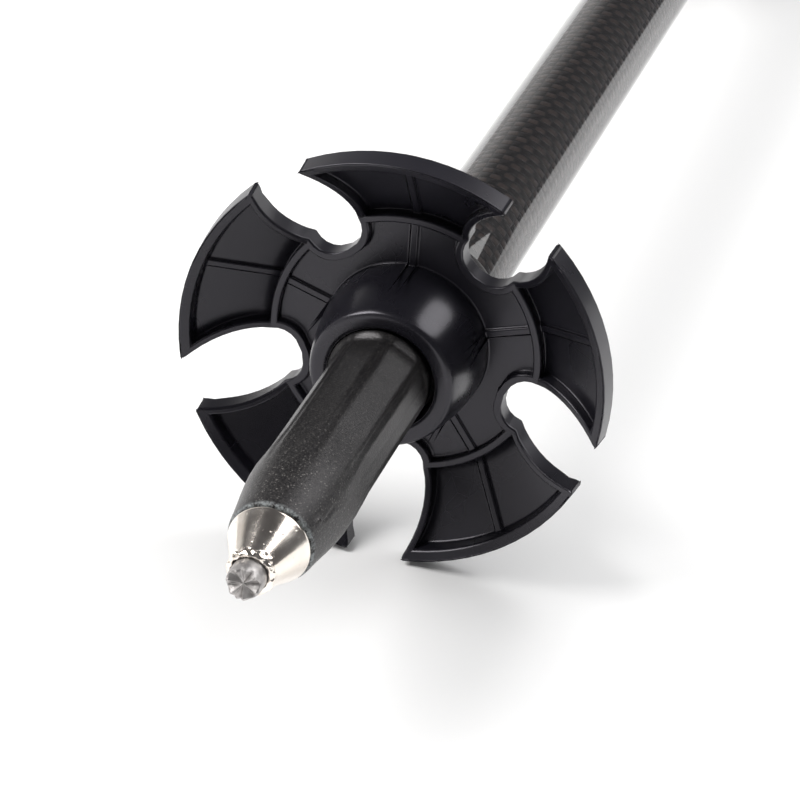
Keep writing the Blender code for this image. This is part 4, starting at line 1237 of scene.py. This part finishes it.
def interp(stations, x):
    """Smooth (front, rear, wide, power) between stations, by a Catmull-Rom spline."""
    if x <= stations[0][0]:
        return stations[0][1:]
    for i in range(len(stations) - 1):
        if stations[i][0] <= x <= stations[i + 1][0]:
            a, b = stations[i], stations[i + 1]
            p = stations[max(i - 1, 0)]
            q = stations[min(i + 2, len(stations) - 1)]
            t = (x - a[0]) / (b[0] - a[0])
            out = []
            for k in range(1, 5):
                m0 = (b[k] - p[k]) / max(b[0] - p[0], 1e-6) * (b[0] - a[0])
                m1 = (q[k] - a[k]) / max(q[0] - a[0], 1e-6) * (b[0] - a[0])
                out.append((2 * t ** 3 - 3 * t * t + 1) * a[k] + (t ** 3 - 2 * t * t + t) * m0
                           + (-2 * t ** 3 + 3 * t * t) * b[k] + (t ** 3 - t * t) * m1)
            return tuple(out)
    return stations[-1][1:]


STRAP_PIN_X, STRAP_PIN_Y = -18.5, 8.0
STRAP_HALF, STRAP_T = 8.5, 1.6


def build_head():
    n = 96
    stations = [(-37.0, 13.3, 16.6, 13.8, 2.6), (-34.0, 14.2, 17.8, 14.3, 2.7), (-28.0, 15.6, 19.6, 14.8, 2.8),
                (-21.0, 16.6, 20.6, 15.0, 2.9), (-14.0, 16.4, 20.2, 14.8, 2.9), (-10.0, 15.8, 19.2, 14.4, 2.8),
                (-8.3, 15.0, 18.2, 13.8, 2.7)]
    ring_list = [round_section(-135.7, 9.3, n), round_section(-135.7, 10.6, n), round_section(-37.0, 10.6, n)]
    f, r, w, p = stations[0][1:]
    ring_list.append(section(-37.0, f * 0.965, r * 0.965, w * 0.965, p, n))
    ring_list.append(section(-36.9, f * 0.985, r * 0.985, w * 0.985, p, n))
    x = -36.6
    while x < -9.0:
        ring_list.append(section(x, *interp(stations, x), n))
        x += 0.9
    for dx, k in ((0.55, 1.0), (0.3, 0.995), (0.1, 0.985), (0.0, 0.965)):
        f, r, w, p = interp(stations, -8.3 - dx)
        ring_list.append(section(-8.3 - dx, f * k, r * k, w * k, p, n))
    bm = rings(ring_list, cap_first=False, cap_last=True)
    bm.verts.ensure_lookup_table()
    inner = list(bm.verts)[:n]
    deep = [bm.verts.new((-0.0297, v.co.y, v.co.z)) for v in inner]
    for i in range(n):
        bm.faces.new((inner[i], inner[(i + 1) % n], deep[(i + 1) % n], deep[i]))
    bm.faces.new(deep)
    head = piece("grip_head_moulded", bm, "grip_plastic", "upper", ["grip_head"], angle=35.0)
    pocket = arc(STRAP_PIN_X, STRAP_PIN_Y, 4.5, 180, 360, 24)
    pocket += [(STRAP_PIN_X + 4.5, STRAP_PIN_Y + 4.0), (STRAP_PIN_X + 7.3, STRAP_PIN_Y + 12.4),
               (STRAP_PIN_X + 7.3, STRAP_PIN_Y + 16.0), (STRAP_PIN_X - 7.3, STRAP_PIN_Y + 16.0),
               (STRAP_PIN_X - 7.3, STRAP_PIN_Y + 12.4), (STRAP_PIN_X - 4.5, STRAP_PIN_Y + 4.0)]
    tools = [rings([[(x, y, z) for x, y in pocket] for z in (-STRAP_HALF - 0.6, STRAP_HALF + 0.6)]),
             lathe_z(STRAP_PIN_X, STRAP_PIN_Y, [(-12.6, 2.3), (20, 2.3)], 48, closed=False),
             rings([[(x, y - 8.0, z) for x, y, z in round_section(xx, 4.3, 48)] for xx in (-16.4, -5.0)])]
    # shallow moulded lines on both cheeks
    for k in range(3):
        x = -31.0 + 3.2 * k
        tools.append(prism_y(x, 0.7, -9.0, 3.0 - 1.2 * k, 14.25 + 0.22 * k, 17.0))
        tools.append(prism_y(x, 0.7, -9.0, 3.0 - 1.2 * k, -17.0, -14.25 - 0.22 * k))
    carve(head, *tools)

    cap_st = [(-8.0, 14.9, 18.1, 13.7, 2.7), (-7.2, 15.2, 18.4, 13.9, 2.7), (-4.5, 14.8, 17.9, 13.4, 2.6),
              (-2.2, 13.4, 16.2, 12.2, 2.5), (-0.7, 11.2, 13.6, 10.4, 2.4), (0.0, 8.8, 10.8, 8.4, 2.3)]
    cap_rings = [[(x, y - 8.0, z) for x, y, z in round_section(xx, r, n)] for xx, r in
                 ((-16.0, 3.4), (-15.85, 3.75), (-15.5, 4.0), (-8.0, 4.0))]
    cap_rings.append(section(-8.0, 14.7, 17.9, 13.5, 2.7, n))
    x = -7.8
    while x < -0.05:
        cap_rings.append(section(x, *interp(cap_st, x), n))
        x += 0.45 if x < -2.5 else 0.25
    f, r, w, p = cap_st[-1][1:]
    for x, k in ((0.0, 1.0), (0.0, 0.80), (-0.5, 0.76), (-0.5, 0.60), (-0.05, 0.56), (-0.05, 0.2)):
        cap_rings.append(section(x, f * k, r * k, w * k, p, n))
    piece("grip_cap_moulded", rings(cap_rings), "grip_plastic", "upper", ["grip_cap"], angle=35.0)


def prism_y(x, width, y0, y1, z0, z1):
    ring = [(x - width / 2, z0), (x + width / 2, z0), (x + width / 2, z1), (x - width / 2, z1)]
    return rings([[(a, y, c) for a, c in ring] for y in (y0, y1)])


build_head()

# ================================================================================ strap
LOOP_LEAN = math.radians(-16.0)


def catmull(points, per):
    pts = [points[0]] + points + [points[-1]]
    out = []
    for i in range(1, len(pts) - 2):
        p0, p1, p2, p3 = pts[i - 1:i + 3]
        for k in range(per):
            t = k / per
            out.append(tuple(0.5 * (2 * b + (c - a) * t + (2 * a - 5 * b + 4 * c - d) * t * t
                                    + (3 * b - a - 3 * c + d) * t ** 3)
                             for a, b, c, d in zip(p0, p1, p2, p3)))
    out.append(points[-1])
    return out


def loop_path(per=4, bend_step=20):
    px, py = STRAP_PIN_X, STRAP_PIN_Y
    turn_r = 2.0 + 0.35 + STRAP_T / 2
    knee = (px, py + 25.0)
    raw = [(-17.5, 45.0), (-27.0, 70.0), (-52.0, 92.0), (-90.0, 103.0), (-132.0, 101.0),
           (-166.0, 88.0), (-187.0, 66.0), (-183.0, 46.0), (-160.0, 36.0), (-126.0, 35.0),
           (-92.0, 40.0), (-58.0, 46.5), (-36.0, 48.5), (-25.0, 45.0)]
    run = []
    for x, y in raw:
        dx, dy = x - knee[0], y - knee[1]
        run.append((knee[0] + dx * math.cos(LOOP_LEAN) - dy * math.sin(LOOP_LEAN),
                    knee[1] + dx * math.sin(LOOP_LEAN) + dy * math.cos(LOOP_LEAN)))
    off = STRAP_T / 2 + 0.25
    pts = [(px + off, py + 12.0), (px + off, py + 18.0), (px + off, py + 25.0)] + run \
        + [(px - off, py + 25.0), (px - off, py + 18.0), (px - off, py + 12.0)]
    curve = catmull(pts, per)
    bend = [(px + turn_r * math.cos(math.radians(a)), py + turn_r * math.sin(math.radians(a)))
            for a in range(-160, -19, bend_step)]
    return [(px - turn_r, py + 0.5)] + bend + [(px + turn_r, py + 0.5)] + curve


def droop(x, y):
    d = math.hypot(x - STRAP_PIN_X, y - STRAP_PIN_Y)
    return smooth01((d - 28.0) / 75.0) * (floor_z(x) + 13.2)


def frames(path, closed):
    """(point, plan normal) at each point of the path."""
    n = len(path)
    out = []
    for i, (x, y) in enumerate(path):
        a = path[(i - 1) % n] if closed or i > 0 else path[i]
        b = path[(i + 1) % n] if closed or i < n - 1 else path[i]
        tx, ty = b[0] - a[0], b[1] - a[1]
        ln = math.hypot(tx, ty)
        out.append(((x, y, droop(x, y)), (-ty / ln, tx / ln)))
    return out


def lengths(path):
    run = [0.0]
    for a, b in zip(path, path[1:]):
        run.append(run[-1] + math.hypot(b[0] - a[0], b[1] - a[1]))
    return run


def swept(path, closed, profile):
    """Sweeps a profile of (offset along the plan normal, height) points; keeps run and across.
    profile may be a function of the place along the path."""
    fr = frames(path, closed)
    run = lengths(path)
    total = run[-1]
    ring_list, tags = [], []
    for k, ((x, y, z), (nx, ny)) in enumerate(fr):
        prof = profile(run[k], total) if callable(profile) else profile
        ring_list.append([(x + nx * o, y + ny * o, z + h) for o, h in prof])
        tags.append([(run[k], h) for o, h in prof])
    bm = bmesh.new()
    lay_run = bm.verts.layers.float.new("run")
    lay_across = bm.verts.layers.float.new("across")
    made = []
    for ring, tag in zip(ring_list, tags):
        row = []
        for (x, y, z), (u, v) in zip(ring, tag):
            vert = bm.verts.new((x * MM, y * MM, z * MM))
            vert[lay_run] = u
            vert[lay_across] = v
            row.append(vert)
        made.append(row)
    pairs = list(zip(made, made[1:]))
    if closed:
        pairs.append((made[-1], made[0]))
    for a, b in pairs:
        n = len(a)
        for i in range(n):
            j = (i + 1) % n
            bm.faces.new((a[i], a[j], b[j], b[i]))
    if not closed:
        bm.faces.new(made[0])
        bm.faces.new(made[-1])
    return bm


PATH = loop_path(10, 10)


def build_strap():
    t, h = STRAP_T / 2, STRAP_HALF
    face = []
    for i in range(-7, 8):                                      # one face, with thicker edges
        v = h * 0.965 * i / 7
        edge = smooth01((abs(v) - (h - 1.6)) / 0.6)
        face.append((t - 0.10 + 0.10 * edge, v))
    prof = face + [(t * 0.72, h - 0.06), (t * 0.3, h), (-t * 0.3, h), (-t * 0.72, h - 0.06)]
    prof += [(-o, v) for o, v in reversed(face)]
    prof += [(-t * 0.72, -h + 0.06), (-t * 0.3, -h), (t * 0.3, -h), (t * 0.72, -h + 0.06)]
    strap = piece("wrist_strap_webbing", swept(PATH, True, prof), "webbing", "strap", ["wrist_strap"],
                  angle=50.0)
    return strap


build_strap()

def build_pad():
    """Padded lining of the far side of the loop: crowned, quilted by two seams, with a bound edge."""
    far = [i for i, p in enumerate(PATH) if p[0] < -92.0 and i < len(PATH) * 0.72]
    path = PATH[far[0]:far[-1] + 1]
    total = lengths(path)[-1]
    lo = STRAP_T / 2 + 0.3

    def prof(run, length):
        end = min(run, length - run)
        k = math.sqrt(min(end / 9.0, 1.0) * (2 - min(end / 9.0, 1.0)))     # rounded ends
        half = 13.0 * (0.70 + 0.30 * k) - 0.25
        thick = 1.1 + 1.75 * smooth01(end / 6.0)
        wave = 0.10 * math.sin(run * 0.9) + 0.07 * math.sin(run * 2.3 + 1.0)
        out = []
        m = 28
        for i in range(m + 1):                                  # inner face, towards the wrist
            v = -1 + 2 * i / m
            y = v * half
            crown = (1 - abs(v) ** 3.2)
            seam = math.exp(-((abs(y) - 8.4) / 0.55) ** 2)
            seam2 = math.exp(-((end - 5.0) / 0.6) ** 2) * (1 if abs(y) < 8.4 else 0)
            pucker = 1.0 + 0.05 * math.sin(run * 2 * math.pi / 3.2)
            o = lo + 0.7 + (thick - 0.7) * crown * pucker + wave * 0.35 * crown
            o -= 0.75 * max(seam, seam2) * (thick - 0.9) / 2.0
            out.append((min(o, lo + 3.0), y))
        out += [(lo + 0.45, half + 0.22), (lo + 0.15, half + 0.15)]
        for i in range(m, -1, -4):
            out.append((lo, (-1 + 2 * i / m) * half * 0.995))
        out += [(lo + 0.15, -half - 0.15), (lo + 0.45, -half - 0.22)]
        return out

    pad = piece("wrist_pad_lining", swept(path, False, prof), "pad_fabric", "strap", ["wrist_pad"], angle=60.0)
    return path, lo


PAD_PATH, PAD_LO = build_pad()


def build_keeper():
    kx, ky = STRAP_PIN_X, STRAP_PIN_Y + 17.5
    hole = (STRAP_T + 0.25 + 0.35, STRAP_HALF + 0.35)
    shell = (hole[0] + 1.3, hole[1] + 1.3)

    def frame_ring(y, hx, hz, r):
        pts = soften([(-hx, -hz, r), (hx, -hz, r), (hx, hz, r), (-hx, hz, r)], steps=6)
        return [(kx + a, y, c) for a, c in pts]

    r_in, r_out = 0.5, 1.5
    loops = [frame_ring(ky + 0.25, hole[0], hole[1], r_in),
             frame_ring(ky, hole[0] + 0.25, hole[1] + 0.25, r_in + 0.15),
             frame_ring(ky, shell[0] - 0.35, shell[1] - 0.35, r_out),
             frame_ring(ky + 0.12, shell[0] - 0.1, shell[1] - 0.1, r_out),
             frame_ring(ky + 0.45, shell[0], shell[1], r_out),
             frame_ring(ky + 2.5, shell[0], shell[1], r_out),
             frame_ring(ky + 2.8, shell[0] - 0.3, shell[1] - 0.3, r_out),
             frame_ring(ky + 4.2, shell[0] - 0.3, shell[1] - 0.3, r_out),
             frame_ring(ky + 4.5, shell[0], shell[1], r_out),
             frame_ring(ky + 6.55, shell[0], shell[1], r_out),
             frame_ring(ky + 6.88, shell[0] - 0.1, shell[1] - 0.1, r_out),
             frame_ring(ky + 7, shell[0] - 0.35, shell[1] - 0.35, r_out),
             frame_ring(ky + 7, hole[0] + 0.25, hole[1] + 0.25, r_in + 0.15),
             frame_ring(ky + 6.75, hole[0], hole[1], r_in)]
    piece("strap_keeper_loop", rings(loops, loop=True), "grip_plastic", "strap", ["strap_keeper"],
          angle=35.0)


build_keeper()


def stitch(bm, a, b, out, r):
    """One thread stitch: a thin arched tube from a to b, bulging along out."""
    a, b, out = Vector(a), Vector(b), Vector(out)
    d = b - a
    side = d.cross(out).normalized()
    rows = []
    for k in range(7):
        t = k / 6
        c = a + d * t + out * (r * 1.1 * math.sin(math.pi * t) ** 0.6 - r * 0.55)
        rr = r * (0.45 + 0.55 * math.sin(math.pi * min(max(t, 0.04), 0.96)) ** 0.5)
        rows.append([c + (side * math.cos(q) + out * math.sin(q)) * rr
                     for q in (2 * math.pi * i / 8 for i in range(8))])
    made = [[bm.verts.new(p * MM) for p in row] for row in rows]
    for p, q in zip(made, made[1:]):
        for i in range(8):
            j = (i + 1) % 8
            bm.faces.new((p[i], p[j], q[j], q[i]))
    bm.faces.new(made[0])
    bm.faces.new(made[-1])


def build_stitching():
    """Seams of the pad, and the bar tacks that close the loop beside the keeper."""
    fr = frames(PAD_PATH, False)
    run = lengths(PAD_PATH)
    total = run[-1]

    def at(u):
        for k in range(len(run) - 1):
            if run[k] <= u <= run[k + 1]:
                t = (u - run[k]) / (run[k + 1] - run[k])
                p = Vector(fr[k][0]).lerp(Vector(fr[k + 1][0]), t)
                nrm = Vector((*fr[k][1], 0)).lerp(Vector((*fr[k + 1][1], 0)), t).normalized()
                return p, nrm
        return Vector(fr[-1][0]), Vector((*fr[-1][1], 0))

    bm = bmesh.new()
    for y in (-8.4, 8.4):
        u = 5.2
        while u < total - 5.2:
            (p0, n0), (p1, n1) = at(u), at(min(u + 1.9, total - 5.0))
            depth = PAD_LO + 0.7 + 1.05
            a = p0 + n0 * depth + Vector((0, 0, y))
            b = p1 + n1 * depth + Vector((0, 0, y))
            stitch(bm, a, b, (n0 + n1).normalized(), 0.26)
            u += 2.6
    piece("wrist_pad_stitching", bm, "webbing", "strap", mat="thread", angle=60.0)

    fr2 = frames(PATH, True)
    run2 = lengths(PATH)
    bm = bmesh.new()
    zig = [i for i, p in enumerate(PATH) if p[1] > STRAP_PIN_Y + 27.0 and i < 60]
    start = zig[0]
    p, nrm = Vector(fr2[start][0]), Vector((*fr2[start][1], 0))
    tangent = Vector((nrm.y, -nrm.x, 0))
    for row in range(3):
        for side in (1, -1):
            for k in range(9):
                z = -6.4 + 1.6 * k
                base = p + tangent * (-1.0 + (-2.2) * row) + Vector((0, 0, z))
                a = base + nrm * side * (STRAP_T / 2 + 0.02)
                b = a + Vector((0, 0, 1.35)) + tangent * 0.5
                stitch(bm, a, b, nrm * side, 0.22)
    piece("strap_bar_tacks", bm, "webbing", "strap", mat="thread", angle=60.0)


build_stitching()

# ================================================================================ stage


def floor_material():
    m, nt, b = new_material("pale_floor")
    co = place(nt)
    broad = cloud(nt, co, 600.0, 2.0)
    nt.links.new(blendcol(nt, broad, rgb(0.90, 0.90, 0.90), rgb(0.93, 0.93, 0.93)), b.inputs["Base Color"])
    nt.links.new(remap(nt, broad, 0.3, 0.7, 0.60, 0.70), b.inputs["Roughness"])
    b.inputs["Specular IOR Level"].default_value = 0.25
    return m


def build_floor():
    """Level enough to rest the pole on: it touches the basket's rim and the side of the grip."""
    bm = bmesh.new()
    slope = (FLOOR_B[1] - FLOOR_A[1]) / (FLOOR_B[0] - FLOOR_A[0])

    def at(r, a):
        x, y = -0.55 + r * math.cos(a), r * math.sin(a)
        return bm.verts.new((x, y, (FLOOR_A[1] - 0.12) * MM + slope * (x - FLOOR_A[0] * MM)))

    sides, steps = 96, 12
    middle = at(0.0, 0.0)
    loops = [[at(1.9 * k / steps, 2 * math.pi * i / sides) for i in range(sides)]
             for k in range(1, steps + 1)]
    for i in range(sides):
        j = (i + 1) % sides
        bm.faces.new((middle, loops[0][i], loops[0][j]))
        for a, b in zip(loops, loops[1:]):
            bm.faces.new((a[i], b[i], b[j], a[j]))
    mesh = bpy.data.meshes.new("studio_floor")
    bm.to_mesh(mesh)
    bm.free()
    obj = bpy.data.objects.new("studio_floor", mesh)
    bpy.context.scene.collection.objects.link(obj)
    mesh.materials.append(floor_material())


build_floor()


def area(name, target, direction, distance, size, watts, colour=(1, 1, 1), size_y=None):
    light = bpy.data.lights.new(name, "AREA")
    light.shape = "RECTANGLE"
    light.size = size
    light.size_y = size_y or size
    light.energy = watts
    light.color = colour
    obj = bpy.data.objects.new(name, light)
    bpy.context.scene.collection.objects.link(obj)
    d = Vector(direction).normalized()
    obj.location = Vector(target) + d * distance
    obj.rotation_euler = d.to_track_quat("Z", "Y").to_euler()
    return obj


BASKET_AT = (-0.985, 0.0, 0.0)
area("key_softbox", BASKET_AT, (-0.24, 0.62, 0.75), 1.8, 1.0, 30.0, (1.0, 0.99, 0.98))
area("side_softbox", BASKET_AT, (0.45, -0.52, 0.73), 1.8, 1.35, 20.0)
for name, target, watts in (("grip_fill", (0.35, 0.0, 0.0), 16.0), ("near_fill", (-1.6, 0.25, 0.0), 8.0)):
    area(name, target, (0.0, 0.0, 1.0), 2.2, 2.0, watts).visible_glossy = False   # soften shadows only

world = bpy.data.worlds.new("studio")
bpy.context.scene.world = world
world.use_nodes = True
wn = world.node_tree
bg = wn.nodes["Background"]
geo = node(wn, "ShaderNodeTexCoord").outputs["Generated"]
up = node(wn, "ShaderNodeSeparateXYZ", None, Vector=geo).outputs[2]
ramp = node(wn, "ShaderNodeValToRGB", None, Fac=remap(wn, up, -0.1, 1.0, 0.0, 1.0))
ramp.color_ramp.elements[0].color = (0.16, 0.16, 0.165, 1)
ramp.color_ramp.elements[0].position = 0.0
ramp.color_ramp.elements[1].color = (0.09, 0.09, 0.095, 1)
ramp.color_ramp.elements[1].position = 0.7
path = node(wn, "ShaderNodeLightPath")
seen, diffuse = path.outputs["Is Camera Ray"], path.outputs["Is Diffuse Ray"]
ydir = node(wn, "ShaderNodeSeparateXYZ", None, Vector=geo).outputs[1]
wall = calc(wn, "MULTIPLY", remap(wn, up, 0.50, 0.18, 0.0, 1.0, True), remap(wn, ydir, 0.0, 0.34, 0.0, 1.0, True))
around = blendcol(wn, wall, ramp.outputs[0], rgb(0.72, 0.71, 0.70))
around = blendcol(wn, diffuse, around, rgb(0.27, 0.27, 0.27))
wn.links.new(blendcol(wn, seen, around, rgb(0.93, 0.93, 0.935)), bg.inputs["Color"])
bg.inputs["Strength"].default_value = 1.0

cam = bpy.data.cameras.new("camera")
cam.lens = 152.2
cam.sensor_width = 36.0
cam.clip_start = 0.01
cam.clip_end = 60.0
cam_obj = bpy.data.objects.new("camera", cam)
bpy.context.scene.collection.objects.link(cam_obj)
right = Vector((0.302, -0.951, 0.0665)).normalized()
back_axis = Vector((-0.833, -0.230, 0.503)).normalized()
up_axis = back_axis.cross(right).normalized()
right = up_axis.cross(back_axis).normalized()
cam_obj.matrix_world = Matrix.Translation((-1.3934, -0.1139, 0.2396)) @ Matrix(
    (right, up_axis, back_axis)).transposed().to_4x4()
bpy.context.scene.camera = cam_obj
bpy.context.scene.view_settings.view_transform = "Standard"
